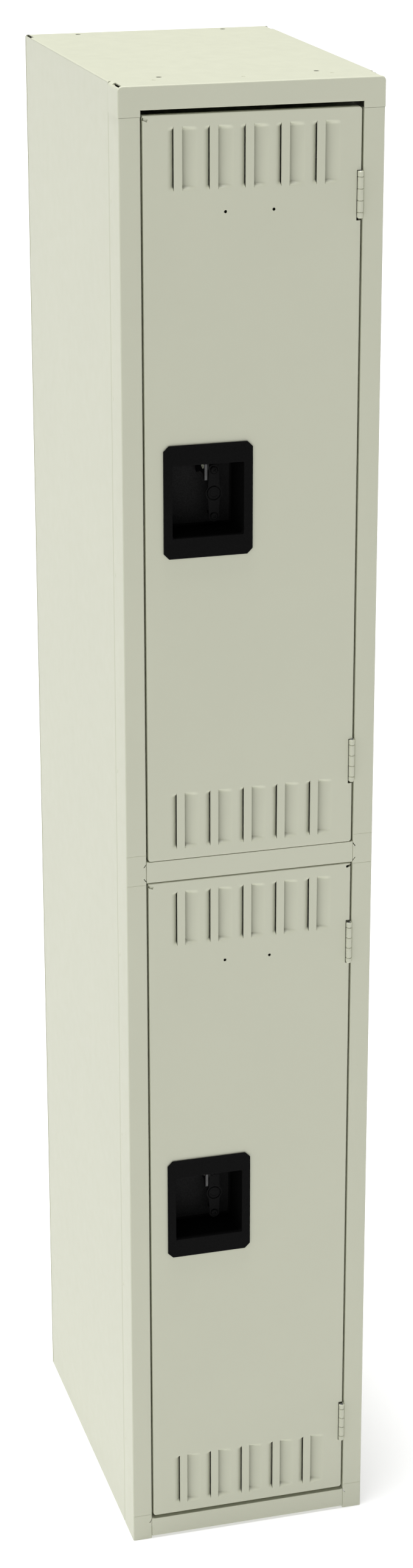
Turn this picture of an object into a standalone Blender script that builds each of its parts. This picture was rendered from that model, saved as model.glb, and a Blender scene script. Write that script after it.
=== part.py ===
"""Double-tier school locker, modelled as the sheet-metal assembly it is.

Metres, +Z up. The doors face -Y and hinge on the +X side. The origin is on the
floor at the centre of the bounding box, whose front is the hinge barrels.
"""
from math import cos, pi, radians, sin

import bmesh
import bpy
from mathutils import Matrix, Vector

# ---------------------------------------------------------------- driving dimensions
WIDTH = 0.3048
DEPTH = 0.4572
HEIGHT = 1.8288

GAP = 0.0003              # left between two pieces that touch
FRAME_SHEET = 0.0015
BODY_SHEET = 0.0008
DOOR_SHEET = 0.0012

UPRIGHT_FACE = 0.0250
UPRIGHT_DEPTH = 0.0440
HEADER_FACE = 0.0265
HEADER_TAB = 0.0073       # how far the header's ends reach down the uprights
RAIL_FACE = 0.0240
RAIL_CENTRE = 0.9148
SILL_TOP = 0.0280
SILL_LIFT = 0.0030
RETURN_DEPTH = 0.0200     # the rails' folded top and bottom edges
CORNER_SLOT_X = (0.0018, 0.0040)          # the slots in the top's corners, from the outside
CORNER_SLOT_Y = (0.0018, 0.0290)

SIDE_INSET = 0.0004       # the side panels stand this far inside the frame
JOGGLE = 0.0030           # length of the step where a side panel goes inside the frame
PANEL_FLANGE = 0.0150
PAN_FLANGE = 0.0140
TOP_HOLE_RADIUS = 0.0032
TOP_HOLES_X = 0.0906
TOP_HOLES_DEPTH = (0.060, 0.441)

DOOR_SIDE_GAP = 0.0022
DOOR_HEIGHT = 0.8683
DOOR_BOTTOMS = {"upper": 0.9284, "lower": 0.0325}
DOOR_FLANGE = 0.0220
DOOR_CORNER = 0.0025      # corner relief of the folded door edges

LOUVRES = 5
LOUVRE_PITCH = 0.0409
LOUVRE_CENTRE_X = -0.0036
LOUVRE_HEIGHT = 0.0695
LOUVRE_MARGIN = 0.0134    # from the door's top or bottom edge to a louvre group
LOUVRE_STRIP = 0.0095     # flat strip that stays flush with the door
LOUVRE_SHOULDER = 0.0070  # short slope on the latch side of the strip
LOUVRE_RAMP = 0.0180      # long slope on the hinge side of the strip
LOUVRE_DEPTH = 0.0050
LOUVRE_END = 0.0050       # length of the closed ends
SHOULDER_CURVE = 1.5      # how sharply each slope dips towards its cut
RAMP_CURVE = 1.3
LANCE = 0.0004            # width of the cut beside the strip
PLATE_HOLE_RADIUS = 0.0015
PLATE_HOLE_SPACING = 0.0556
PLATE_HOLE_DROP = 0.1082

BARREL_RADIUS = 0.0034
BORE_RADIUS = 0.0025
PIN_RADIUS = 0.0021
KNUCKLE = 0.0132
AXIS_X = WIDTH / 2 - 0.0285
AXIS_PROUD = 0.0012       # the hinge axis stands this far in front of the door
LEAF_SHEET = 0.0010
LEAVES = {"frame": (0.0027, 0.0240), "door": (-0.0021, 0.0200)}   # place across, and how deep
LEAF_START = 0.0044       # where a leaf clears the other leaf's knuckles
NOTCH_CLEARANCE = 0.0006
NOTCH_DEPTH = 0.0060      # how deep the notch cuts the door's hinge-side flange
HINGE_OFFSETS = (0.7853, 0.1170)    # above and below the middle of the mid rail
HOOK_OFFSETS = (0.5630, 0.3563)
CUT_REACH = 0.0100        # how far a cutter stands past what it cuts

BEZEL_WIDTH = 0.1051
BEZEL_HEIGHT = 0.1322
BEZEL_CORNER = 0.0064
BEZEL_PROUD = 0.0020
BEZEL_CENTRE_X = -0.0519
CUP_WIDTH = 0.0842
CUP_OPENING = 0.0848
CUP_HEIGHT = 0.1030       # inside, up behind the lip over the opening
CUP_DEPTH = 0.0505
CUP_WALL = 0.0020
CUP_FIT = 0.0005          # round the cup in the door's cut-out
LIP = 0.0012              # how far the lip's back stands behind the door's face
BOSS_X = -0.0366
BOSS_FRONT = 0.0293
BOSS_WEB = 0.0074
WEB_SETBACK = 0.0005
BOSS_HEIGHTS = (0.0148, 0.0694)
LOCK_HOLE_HEIGHT = 0.0421
LOCK_BOSS_RADIUS = 0.0100
LOCK_PLUG_RADIUS = 0.00815
SCREW_BOSS_RADIUS = 0.0064
SCREW_HEAD_RADIUS = 0.0040
LOCK_PLUG_LENGTH = 0.0050
SCREW_HEAD_LENGTH = 0.0018

LIFT_TRAVEL = 0.0095
TRIGGER_X = -0.0538       # latch-side face of the lift trigger
TRIGGER_SHEET = 0.0032
TRIGGER_DEPTH = (0.0075, 0.0470)
TRIGGER_TOP = 0.0932
TRIGGER_BELLY = 0.0700
PRONG_RADIUS = 0.0019
PRONG_HEIGHT = 0.0651     # centre of the rounded end at the front
HEEL_RADIUS = 0.0030
HEEL_HEIGHT = 0.0675      # centre of the rounded end at the back
EYE_RADIUS = 0.0055
EYE_DEPTH = 0.0162
EYE_HEIGHT = 0.0810
ARM_DEPTH = (0.0100, 0.0160)
ARM_HEIGHT = (0.0885, 0.0925)
ARM_CLEARANCE = 0.0010
STAPLE_SHEET = 0.0016
STAPLE_MARGIN = 0.0030    # material round the eye
BAR_X = (0.0362, 0.0392)            # from the locker's latch side
BAR_DEPTH = (0.0080, 0.0180)
CHANNEL_X = (0.0287, 0.0467)
CHANNEL_BACK = 0.0205
CHANNEL_SHEET = 0.0010
GUIDE_HEIGHT = 0.0100
GUIDE_DROP = 0.0200       # below the frame hook's lip
FINGER_BACK = 0.0320
FINGER_HEIGHT = 0.0120
FINGER_LIFT = 0.0008      # between a finger and the frame hook's lip
BAR_END = 0.0100          # the bar beyond its outer finger

HOOK_DEPTH = (0.0260, 0.0285)
HOOK_REACH = 0.0180       # in from the upright
HOOK_LIP_LENGTH = 0.0080
HOOK_HEIGHT = 0.0100
HOOK_STEP = 0.0030
FOOT_SHEET = 0.0020
FOOT_DEPTH = 0.0140
FOOT_SPAN = (-0.0180, 0.0060)       # below and above the lip
SILENCER_RADIUS = 0.0030
SILENCER_LENGTH = 0.0030
SILENCER_PLACE = (0.0040, -0.0065)  # from the upright's side and the lip

CEILING_HOOK_WIDTH = 0.0080
WALL_HOOK_WIDTH = 0.0100
WALL_HOOK_DROP = 0.1100
PRONG_STEEL = 0.0040

SEGMENTS = 12

# ---------------------------------------------------------------- places worked out
LEFT = -WIDTH / 2
RIGHT = WIDTH / 2
PROUD = AXIS_PROUD + BARREL_RADIUS
FRONT = (PROUD - DEPTH) / 2
BACK = FRONT + DEPTH
RAIL_BOTTOM = RAIL_CENTRE - RAIL_FACE / 2
RAIL_TOP = RAIL_CENTRE + RAIL_FACE / 2
OPENING_TOP = HEIGHT - HEADER_FACE
UPRIGHT_TOP = OPENING_TOP - HEADER_TAB
DOOR_LEFT = LEFT + UPRIGHT_FACE + DOOR_SIDE_GAP
DOOR_RIGHT = RIGHT - UPRIGHT_FACE - DOOR_SIDE_GAP
PANEL_TOP = HEIGHT - FRAME_SHEET - GAP
AXIS_Y = FRONT - AXIS_PROUD
INNER_BACK = BACK - BODY_SHEET - GAP - BODY_SHEET - GAP
SIDE_INNER = SIDE_INSET + BODY_SHEET + GAP
CUP_BACK = FRONT + CUP_DEPTH + CUP_WALL / 2

# ---------------------------------------------------------------- scene and materials
for old in list(bpy.data.objects):
    bpy.data.objects.remove(old, do_unlink=True)


def new_collection(name):
    collection = bpy.data.collections.new(name)
    bpy.context.scene.collection.children.link(collection)
    return collection


PARTS = new_collection("school_locker")
CUTTERS = new_collection("school_locker_cutters")


def make_material(name, colour, roughness, metallic=0.0):
    material = bpy.data.materials.new(name)
    material.use_nodes = True
    shader = material.node_tree.nodes["Principled BSDF"]
    shader.inputs["Base Color"].default_value = (*colour, 1.0)
    shader.inputs["Roughness"].default_value = roughness
    shader.inputs["Metallic"].default_value = metallic
    return material


PAINT = make_material("putty_paint", (0.60, 0.61, 0.48), 0.45)
PLASTIC = make_material("black_plastic", (0.008, 0.008, 0.008), 0.5)
STEEL = make_material("zinc_steel", (0.42, 0.43, 0.44), 0.4, 1.0)
RUBBER = make_material("black_rubber", (0.012, 0.012, 0.012), 0.8)
NYLON = make_material("white_nylon", (0.75, 0.74, 0.70), 0.5)


# ---------------------------------------------------------------- making shapes
def add_object(name, mesh, material=None, pivot=None, location=(0, 0, 0)):
    """A named object. One without a material is a cutter, kept out of the part."""
    thing = bpy.data.objects.new(name, mesh)
    thing.location = location
    if material is None:
        CUTTERS.objects.link(thing)
        thing.hide_render = True
        thing.display_type = 'WIRE'
        return thing
    PARTS.objects.link(thing)
    mesh.materials.append(material)
    if pivot:
        thing.parent = pivot
        thing.matrix_parent_inverse = pivot.matrix_world.inverted()
    return thing


def add_pivot(name, place, pivot=None):
    """An empty on a joint's axis, which the moving pieces hang from."""
    empty = bpy.data.objects.new(name, None)
    empty.empty_display_size = 0.03
    empty.location = place
    PARTS.objects.link(empty)
    if pivot:
        empty.parent = pivot
        empty.matrix_parent_inverse = pivot.matrix_world.inverted()
    bpy.context.view_layer.update()
    return empty


def mesh_of(name, bm):
    mesh = bpy.data.meshes.new(name)
    bm.to_mesh(mesh)
    bm.free()
    return mesh


def box(name, x, y, z, material=None, pivot=None):
    """A block between the (low, high) pairs given along x, y and z."""
    low, high = (Vector(ends) for ends in zip(x, y, z))
    bm = bmesh.new()
    bmesh.ops.create_cube(bm, size=1, matrix=Matrix.Diagonal((*(high - low), 1)))
    return add_object(name, mesh_of(name, bm), material, pivot, (low + high) / 2)


TURNS = {"x": Matrix.Rotation(pi / 2, 4, 'Y'), "y": Matrix.Rotation(pi / 2, 4, 'X'), "z": Matrix()}


def add_cylinder(bm, radius, length, centre, axis="z", segments=SEGMENTS):
    turn = Matrix.Translation(centre) @ TURNS[axis] @ Matrix.Rotation(pi / segments, 4, 'Z')
    bmesh.ops.create_cone(bm, cap_ends=True, segments=segments, radius1=radius, radius2=radius,
                          depth=length, matrix=turn)


def cylinder(name, radius, length, centre, axis="z", material=None, pivot=None, segments=SEGMENTS):
    bm = bmesh.new()
    add_cylinder(bm, radius, length, (0, 0, 0), axis, segments)
    thing = add_object(name, mesh_of(name, bm), material, pivot, centre)
    thing.data.shade_smooth()
    thing.data.set_sharp_from_angle(angle=radians(40))
    return thing


def flat_plate(name, outlines, thickness, plane, centre, material=None, pivot=None):
    """A plate cut to closed outlines, the first its edge and the rest its holes.

    plane "yz" reads the points as (y, z) and the thickness along x; "xz" as (x, z) and along y.
    """
    curve = bpy.data.curves.new(name, 'CURVE')
    curve.dimensions = '2D'
    curve.fill_mode = 'BOTH'
    curve.extrude = thickness / 2
    for points in outlines:
        spline = curve.splines.new('POLY')
        spline.points.add(len(points) - 1)
        spline.use_cyclic_u = True
        for point, (across, up) in zip(spline.points, points):
            point.co = (across, up, 0, 1)
    source = bpy.data.objects.new(name + "_outline", curve)
    CUTTERS.objects.link(source)
    mesh = bpy.data.meshes.new_from_object(source.evaluated_get(bpy.context.evaluated_depsgraph_get()))
    bpy.data.objects.remove(source)
    bm = bmesh.new()
    bm.from_mesh(mesh)
    bmesh.ops.remove_doubles(bm, verts=bm.verts, dist=1e-6)
    upright = Matrix.Rotation(pi / 2, 4, 'X')
    if plane == "yz":
        upright = Matrix.Rotation(pi / 2, 4, 'Z') @ upright
    bmesh.ops.transform(bm, matrix=upright, verts=bm.verts)
    bmesh.ops.recalc_face_normals(bm, faces=bm.faces)
    return add_object(name, mesh_of(name, bm), material, pivot, centre)


def arc(centre, radius, start, end, steps):
    """Points round a circle, both ends included, with the angles in degrees."""
    angles = (radians(start + (end - start) * step / steps) for step in range(steps + 1))
    return [(centre[0] + radius * cos(angle), centre[1] + radius * sin(angle)) for angle in angles]


def add_grid(bm, us, vs, place, keep=None):
    """Quads over the lines us and vs. place(u, v) is a point, and du x dv faces outwards."""
    corners = {}

    def corner(i, j):
        if (i, j) not in corners:
            corners[i, j] = bm.verts.new(place(us[i], vs[j]))
        return corners[i, j]

    for i in range(len(us) - 1):
        for j in range(len(vs) - 1):
            middle = ((us[i] + us[i + 1]) / 2, (vs[j] + vs[j + 1]) / 2)
            if keep is None or keep(*middle):
                bm.faces.new([corner(i, j), corner(i + 1, j), corner(i + 1, j + 1), corner(i, j + 1)])


def sheet(name, bm, thickness, material, pivot=None):
    """Welds the grids into one skin, merges its flat faces, and thickens it inwards."""
    bmesh.ops.remove_doubles(bm, verts=bm.verts, dist=1e-6)
    bmesh.ops.dissolve_limit(bm, angle_limit=radians(0.5), verts=bm.verts, edges=bm.edges)
    bmesh.ops.triangulate(bm, faces=bm.faces)
    thing = add_object(name, mesh_of(name, bm), material, pivot)
    solid = thing.modifiers.new("thickness", 'SOLIDIFY')
    solid.thickness = thickness
    solid.offset = -1
    solid.use_even_offset = True
    solid.use_quality_normals = True
    return thing


def combine(thing, operation, *tools):
    for tool in tools:
        step = thing.modifiers.new(tool.name, 'BOOLEAN')
        step.operation = operation
        step.solver = 'EXACT'
        step.object = tool


def folded(name, path, ends, along, thickness, material, pivot=None):
    """A sheet folded along a path: (x, y) points rising along z, or (y, z) points along x."""
    bm = bmesh.new()
    if along == "z":
        add_grid(bm, range(len(path)), ends, lambda u, v: (*path[u], v))
    else:
        add_grid(bm, range(len(path)), ends, lambda u, v: (v, *path[u]))
    return sheet(name, bm, thickness, material, pivot)


def mirrored(path, flip):
    """The path for the other side of the locker, still walked with its outside outwards."""
    return [(-x, y) for x, y in reversed(path)] if flip else path


def between(value, pair):
    return pair[0] < value < pair[1]


# ---------------------------------------------------------------- frame
def make_upright(side, flip):
    inner = LEFT + UPRIGHT_FACE
    path = [(LEFT, FRONT + UPRIGHT_DEPTH), (LEFT, FRONT), (inner, FRONT), (inner, FRONT + UPRIGHT_DEPTH)]
    folded(f"frame_{side}_upright", mirrored(path, flip), (0, UPRIGHT_TOP - GAP), "z", FRAME_SHEET, PAINT)


def make_header():
    """Front face with its end tabs, side cheeks, slotted top flange and lower return."""
    inner = LEFT + UPRIGHT_FACE
    lines = (LEFT, *(LEFT + x for x in CORNER_SLOT_X), inner)
    across = lines + tuple(-x for x in reversed(lines))
    rise = (UPRIGHT_TOP, OPENING_TOP, HEIGHT)
    bm = bmesh.new()
    add_grid(bm, across, rise, lambda x, z: (x, FRONT, z), lambda x, z: abs(x) > -inner or z > OPENING_TOP)
    slot_x = (RIGHT - CORNER_SLOT_X[1], RIGHT - CORNER_SLOT_X[0])
    slot_y = tuple(FRONT + y for y in CORNER_SLOT_Y)
    depths = (FRONT, *slot_y, FRONT + UPRIGHT_DEPTH)
    add_grid(bm, across, depths, lambda x, y: (x, y, HEIGHT),
             lambda x, y: not (between(abs(x), slot_x) and between(y, slot_y)))
    add_grid(bm, depths[::-1], rise, lambda y, z: (LEFT, y, z))
    add_grid(bm, depths, rise, lambda y, z: (RIGHT, y, z))
    add_grid(bm, (FRONT, FRONT + RETURN_DEPTH), (inner, -inner), lambda y, x: (x, y, OPENING_TOP))
    sheet("frame_header", bm, FRAME_SHEET, PAINT)


def make_rail(name, low, high):
    path = [(FRONT + RETURN_DEPTH, high), (FRONT, high), (FRONT, low), (FRONT + RETURN_DEPTH, low)]
    ends = (LEFT + UPRIGHT_FACE + GAP, RIGHT - UPRIGHT_FACE - GAP)
    folded(name, path, ends, "x", FRAME_SHEET, PAINT)


# ---------------------------------------------------------------- body
def make_side_panel(side, flip):
    """Folded in behind the upright at the front, and round to the back at the rear."""
    outside = LEFT + SIDE_INSET
    inside = LEFT + FRAME_SHEET + GAP
    rear = BACK - BODY_SHEET - GAP
    step = FRONT + UPRIGHT_DEPTH + 2 * GAP
    path = [(outside + PANEL_FLANGE, rear), (outside, rear), (outside, step + JOGGLE),
            (inside, step), (inside, FRONT + UPRIGHT_DEPTH / 2)]
    folded(f"{side}_side_panel", mirrored(path, flip), (0, PANEL_TOP), "z", BODY_SHEET, PAINT)


def make_pan(name, top, notch_x, notch_y, rear_notch=0.0):
    """A tray with its edges folded down, notched round the uprights at the front."""
    side = LEFT + SIDE_INNER
    start = FRONT + FRAME_SHEET + GAP
    across = (side, notch_x, -notch_x, -side)
    depths = (start, notch_y, INNER_BACK - rear_notch) + ((INNER_BACK,) if rear_notch else ())
    wide = (notch_y, INNER_BACK - rear_notch)
    down = (top - PAN_FLANGE, top)
    bm = bmesh.new()
    add_grid(bm, across, depths, lambda x, y: (x, y, top),
             lambda x, y: abs(x) < -notch_x or between(y, wide))
    add_grid(bm, wide[::-1], down, lambda y, z: (side, y, z))
    add_grid(bm, wide, down, lambda y, z: (-side, y, z))
    rear = (notch_x, -notch_x) if rear_notch else across
    add_grid(bm, rear[::-1], down, lambda x, z: (x, INNER_BACK, z))
    return sheet(name, bm, BODY_SHEET, PAINT)


def make_body():
    for side, flip in (("left", False), ("right", True)):
        make_upright(side, flip)
        make_side_panel(side, flip)
    make_header()
    make_rail("frame_mid_rail", RAIL_BOTTOM, RAIL_TOP)
    make_rail("frame_sill", SILL_LIFT, SILL_TOP)
    edge = LEFT + SIDE_INSET
    box("back_panel", (edge, -edge), (BACK - BODY_SHEET, BACK), (0, PANEL_TOP), PAINT)
    behind_upright = FRONT + UPRIGHT_DEPTH + JOGGLE + 4 * GAP
    shelf_notch = LEFT + UPRIGHT_FACE + GAP
    under_return = FRAME_SHEET + GAP
    make_pan("bottom_panel", SILL_TOP - under_return, shelf_notch, behind_upright)
    make_pan("divider_shelf", RAIL_TOP - under_return, shelf_notch, behind_upright)
    top = make_pan("top_panel", PANEL_TOP, LEFT + CORNER_SLOT_X[1], behind_upright, CORNER_SLOT_Y[1])
    bm = bmesh.new()
    for x in (-TOP_HOLES_X, TOP_HOLES_X):
        for depth in TOP_HOLES_DEPTH:
            add_cylinder(bm, TOP_HOLE_RADIUS, CUT_REACH, (x, FRONT + depth, PANEL_TOP), segments=8)
    combine(top, 'DIFFERENCE', add_object("top_holes", mesh_of("top_holes", bm)))


# ---------------------------------------------------------------- doors
def louvre_lines(door_bottom):
    """Where the louvre units start across the door, and where its two groups start and end."""
    first = LOUVRE_CENTRE_X - (LOUVRES - 1) / 2 * LOUVRE_PITCH - LOUVRE_STRIP / 2
    strips = [first + unit * LOUVRE_PITCH for unit in range(LOUVRES)]
    low = door_bottom + LOUVRE_MARGIN
    high = door_bottom + DOOR_HEIGHT - LOUVRE_MARGIN
    return strips, [(low, low + LOUVRE_HEIGHT), (high - LOUVRE_HEIGHT, high)]


def louvre_push(x, z, strips, groups):
    """How far the louvres push the sheet in at a point of the door's face."""
    for low, high in groups:
        if not low <= z <= high:
            continue
        end = min(1.0, (z - low) / LOUVRE_END, (high - z) / LOUVRE_END)
        for strip in strips:
            shoulder = strip - LANCE
            ramp = strip + LOUVRE_STRIP + LANCE
            if shoulder - LOUVRE_SHOULDER <= x <= shoulder:
                run = max(0.0, 1 - (shoulder - x) / LOUVRE_SHOULDER)
                return LOUVRE_DEPTH * end * run ** SHOULDER_CURVE
            if ramp <= x <= ramp + LOUVRE_RAMP:
                run = max(0.0, 1 - (x - ramp) / LOUVRE_RAMP)
                return LOUVRE_DEPTH * end * run ** RAMP_CURVE
    return 0.0


def cup_span(centre_z):
    """The cup's inside: (left, right) across and (floor, ceiling) up."""
    floor = centre_z - CUP_OPENING / 2
    return ((BEZEL_CENTRE_X - CUP_WIDTH / 2, BEZEL_CENTRE_X + CUP_WIDTH / 2), (floor, floor + CUP_HEIGHT))


def make_door_panel(name, bottom, hinges, pivot):
    """Louvred face with four folded edges, notched round the hinges and cut out for the cup."""
    top = bottom + DOOR_HEIGHT
    strips, groups = louvre_lines(bottom)
    (cup_left, cup_right), (cup_floor, cup_ceiling) = cup_span(bottom + DOOR_HEIGHT / 2)
    fit = CUP_WALL + CUP_FIT
    cut_x = (cup_left - fit, cup_right + fit)
    cut_z = (cup_floor - fit, cup_ceiling + fit)
    reach = 2 * KNUCKLE + NOTCH_CLEARANCE
    notches = [(z - reach, z + reach) for z in hinges]
    notch_x = AXIS_X - BARREL_RADIUS - NOTCH_CLEARANCE

    across = {DOOR_LEFT, DOOR_LEFT + DOOR_CORNER, DOOR_RIGHT - DOOR_CORNER, DOOR_RIGHT, notch_x, *cut_x}
    for strip in strips:
        shoulder = strip - LANCE
        ramp = strip + LOUVRE_STRIP + LANCE
        across |= {shoulder - LOUVRE_SHOULDER, shoulder - LOUVRE_SHOULDER / 2, shoulder, strip,
                   strip + LOUVRE_STRIP, ramp, ramp + LOUVRE_RAMP / 3, ramp + LOUVRE_RAMP}
    rise = {bottom, bottom + DOOR_CORNER, top - DOOR_CORNER, top, *cut_z}
    for low, high in groups:
        rise |= {low, low + LOUVRE_END, high - LOUVRE_END, high}
    for notch in notches:
        rise |= set(notch)
    across, rise = sorted(across), sorted(rise)
    inner_x = (DOOR_LEFT + DOOR_CORNER, DOOR_RIGHT - DOOR_CORNER)
    inner_z = (bottom + DOOR_CORNER, top - DOOR_CORNER)

    def kept(x, z):
        corner = not between(x, inner_x) and not between(z, inner_z)
        cup = between(x, cut_x) and between(z, cut_z)
        notch = x > notch_x and any(between(z, span) for span in notches)
        lanced = any(between(z, span) for span in groups) and any(
            between(x, (edge, edge + LANCE))
            for strip in strips for edge in (strip - LANCE, strip + LOUVRE_STRIP))
        return not (corner or cup or notch or lanced)

    bm = bmesh.new()
    add_grid(bm, across, rise, lambda x, z: (x, FRONT + louvre_push(x, z, strips, groups), z), kept)
    side_rise = [z for z in rise if inner_z[0] <= z <= inner_z[1]]
    side_across = [x for x in across if inner_x[0] <= x <= inner_x[1]]
    back = FRONT + DOOR_FLANGE
    add_grid(bm, (back, FRONT), side_rise, lambda y, z: (DOOR_LEFT, y, z))
    add_grid(bm, (FRONT, FRONT + NOTCH_DEPTH, back), side_rise, lambda y, z: (DOOR_RIGHT, y, z),
             lambda y, z: y > FRONT + NOTCH_DEPTH or not any(between(z, span) for span in notches))
    add_grid(bm, side_across, (FRONT, back), lambda x, y: (x, y, top))
    add_grid(bm, side_across, (back, FRONT), lambda x, y: (x, y, bottom))
    door = sheet(name, bm, DOOR_SHEET, PAINT, pivot)

    bm = bmesh.new()
    for step in (-0.5, 0.5):
        centre = (LOUVRE_CENTRE_X + step * PLATE_HOLE_SPACING, FRONT, top - PLATE_HOLE_DROP)
        add_cylinder(bm, PLATE_HOLE_RADIUS, CUT_REACH, centre, "y", 8)
    combine(door, 'DIFFERENCE', add_object(name + "_plate_holes", mesh_of(name + "_plate_holes", bm)))


def arm_slot(floor):
    """Room for the trigger's arm in the cup's side and the latch channel: depths and heights."""
    depth = (FRONT + ARM_DEPTH[0] - ARM_CLEARANCE, FRONT + ARM_DEPTH[1] + ARM_CLEARANCE)
    top = floor + ARM_HEIGHT[1] + LIFT_TRAVEL + ARM_CLEARANCE
    return depth, (floor + ARM_HEIGHT[0] - ARM_CLEARANCE, top)


def make_cup(name, centre_z, pivot):
    """Moulded bezel and box, hollow up behind the lip, with bosses for a built-in lock."""
    half_w, half_h, cut = BEZEL_WIDTH / 2, BEZEL_HEIGHT / 2, BEZEL_CORNER
    quarter = [(half_w, half_h - cut), (half_w - cut, half_h)]
    octagon = (quarter + [(-x, z) for x, z in reversed(quarter)]
               + [(-x, -z) for x, z in quarter] + [(x, -z) for x, z in reversed(quarter)])
    thickness = BEZEL_PROUD - GAP
    cup = flat_plate(name, [octagon], thickness, "xz",
                     (BEZEL_CENTRE_X, FRONT - GAP - thickness / 2, centre_z), PLASTIC, pivot)
    (left, right), (floor, ceiling) = cup_span(centre_z)
    wall = CUP_WALL
    back = FRONT + CUP_DEPTH
    body = box(name + "_body", (left - wall, right + wall), (FRONT - 2 * GAP, back + wall),
               (floor - wall, ceiling + wall))
    hollow = box(name + "_hollow", (left, right), (FRONT + LIP, back), (floor, ceiling))
    mouth = box(name + "_mouth", (left, right), (FRONT - CUT_REACH, FRONT + 2 * LIP),
                (floor, floor + CUP_OPENING))
    arm_y, arm_z = arm_slot(floor)
    slot = box(name + "_arm_slot", (left - 2 * wall, left + wall), arm_y, (arm_z[0], ceiling))

    bm = bmesh.new()
    boss_start = FRONT + BOSS_FRONT
    boss_y = (boss_start + CUP_BACK) / 2
    boss_length = CUP_BACK - boss_start
    for height in BOSS_HEIGHTS:
        add_cylinder(bm, SCREW_BOSS_RADIUS, boss_length, (BOSS_X, boss_y, floor + height), "y")
    add_cylinder(bm, LOCK_BOSS_RADIUS, boss_length, (BOSS_X, boss_y, floor + LOCK_HOLE_HEIGHT), "y", 16)
    bosses = add_object(name + "_bosses", mesh_of(name + "_bosses", bm))
    web = box(name + "_boss_web", (BOSS_X - BOSS_WEB / 2, BOSS_X + BOSS_WEB / 2),
              (boss_start + WEB_SETBACK, CUP_BACK), tuple(floor + height for height in BOSS_HEIGHTS))
    bm = bmesh.new()
    add_cylinder(bm, LOCK_PLUG_RADIUS + 2 * GAP, boss_length + 2 * CUT_REACH,
                 (BOSS_X, boss_y, floor + LOCK_HOLE_HEIGHT), "y", 16)
    lock_hole = add_object(name + "_lock_hole", mesh_of(name + "_lock_hole", bm))
    combine(cup, 'UNION', body)
    combine(cup, 'DIFFERENCE', hollow, mouth, slot)
    combine(cup, 'UNION', bosses, web)
    combine(cup, 'DIFFERENCE', lock_hole)


def make_lock_blanks(tier, floor, pivot):
    """The plug that fills the built-in lock's hole, and its two screws."""
    face = FRONT + BOSS_FRONT
    cylinder(f"{tier}_lock_hole_plug", LOCK_PLUG_RADIUS, LOCK_PLUG_LENGTH,
             (BOSS_X, face + LOCK_PLUG_LENGTH / 2, floor + LOCK_HOLE_HEIGHT), "y", PLASTIC, pivot, 16)
    for place, height in zip(("lower", "upper"), BOSS_HEIGHTS):
        cylinder(f"{tier}_cup_screw_{place}", SCREW_HEAD_RADIUS, SCREW_HEAD_LENGTH,
                 (BOSS_X, face - GAP - SCREW_HEAD_LENGTH / 2, floor + height), "y", PLASTIC, pivot, 10)


def eye(offset=(0, 0), steps=12):
    return arc(offset, EYE_RADIUS, 0, 360 - 360 / steps, steps - 1)


def make_staple(tier, floor, pivot):
    """Fixed tab beside the trigger, hung from the cup's ceiling, with the same padlock eye."""
    half, top = EYE_RADIUS + STAPLE_MARGIN, CUP_HEIGHT - GAP - EYE_HEIGHT
    points = arc((0, 0), half, 180, 360, 6) + [(half, top), (-half, top)]
    x = TRIGGER_X + TRIGGER_SHEET + 2 * GAP + STAPLE_SHEET / 2
    flat_plate(f"{tier}_padlock_staple", [points, eye()], STAPLE_SHEET, "yz",
               (x, FRONT + EYE_DEPTH, floor + EYE_HEIGHT), PAINT, pivot)


def make_trigger(tier, floor, pivot):
    """Finger lift: a plate with the padlock eye, and the arm that reaches the latch bar."""
    near, far = TRIGGER_DEPTH
    prong = arc((near + PRONG_RADIUS, PRONG_HEIGHT), PRONG_RADIUS, 180, 330, 4)
    heel = arc((far - HEEL_RADIUS, HEEL_HEIGHT), HEEL_RADIUS, 225, 360, 4)
    rise = TRIGGER_BELLY - PRONG_HEIGHT
    belly = [(near + 2 * PRONG_RADIUS + rise, TRIGGER_BELLY), (far - 4 * HEEL_RADIUS, TRIGGER_BELLY)]
    outline = [(near, TRIGGER_TOP)] + prong + belly + heel + [(far, TRIGGER_TOP)]
    points = [(y - EYE_DEPTH, z - EYE_HEIGHT) for y, z in outline]
    plate = flat_plate(f"{tier}_lift_trigger", [points, eye()], TRIGGER_SHEET, "yz",
                       (TRIGGER_X + TRIGGER_SHEET / 2, FRONT + EYE_DEPTH, floor + EYE_HEIGHT), STEEL, pivot)
    depth = [FRONT + y for y in ARM_DEPTH]
    height = [floor + z for z in ARM_HEIGHT]
    arm = box(f"{tier}_trigger_arm", (LEFT + BAR_X[1] + GAP, TRIGGER_X + TRIGGER_SHEET / 2), depth, height)
    combine(plate, 'UNION', arm)


def make_latch_bar(tier, hooks, pivot):
    """Flat bar inside the latch channel, with a finger behind the door for each frame hook."""
    near, far = (depth - BAR_DEPTH[0] for depth in (BAR_DEPTH[1], FINGER_BACK))
    centre = sum(hooks) / 2
    reach = (hooks[1] - hooks[0]) / 2
    end = reach + FINGER_HEIGHT + BAR_END
    outline = [(0, -end), (near, -end)]
    for hook in (-reach, reach):
        low = hook + FINGER_LIFT
        outline += [(near, low), (far, low), (far, low + FINGER_HEIGHT), (near, low + FINGER_HEIGHT)]
    outline += [(near, end), (0, end)]
    flat_plate(f"{tier}_latch_bar", [outline], BAR_X[1] - BAR_X[0], "yz",
               (LEFT + sum(BAR_X) / 2, FRONT + BAR_DEPTH[0], centre), STEEL, pivot)


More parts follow.
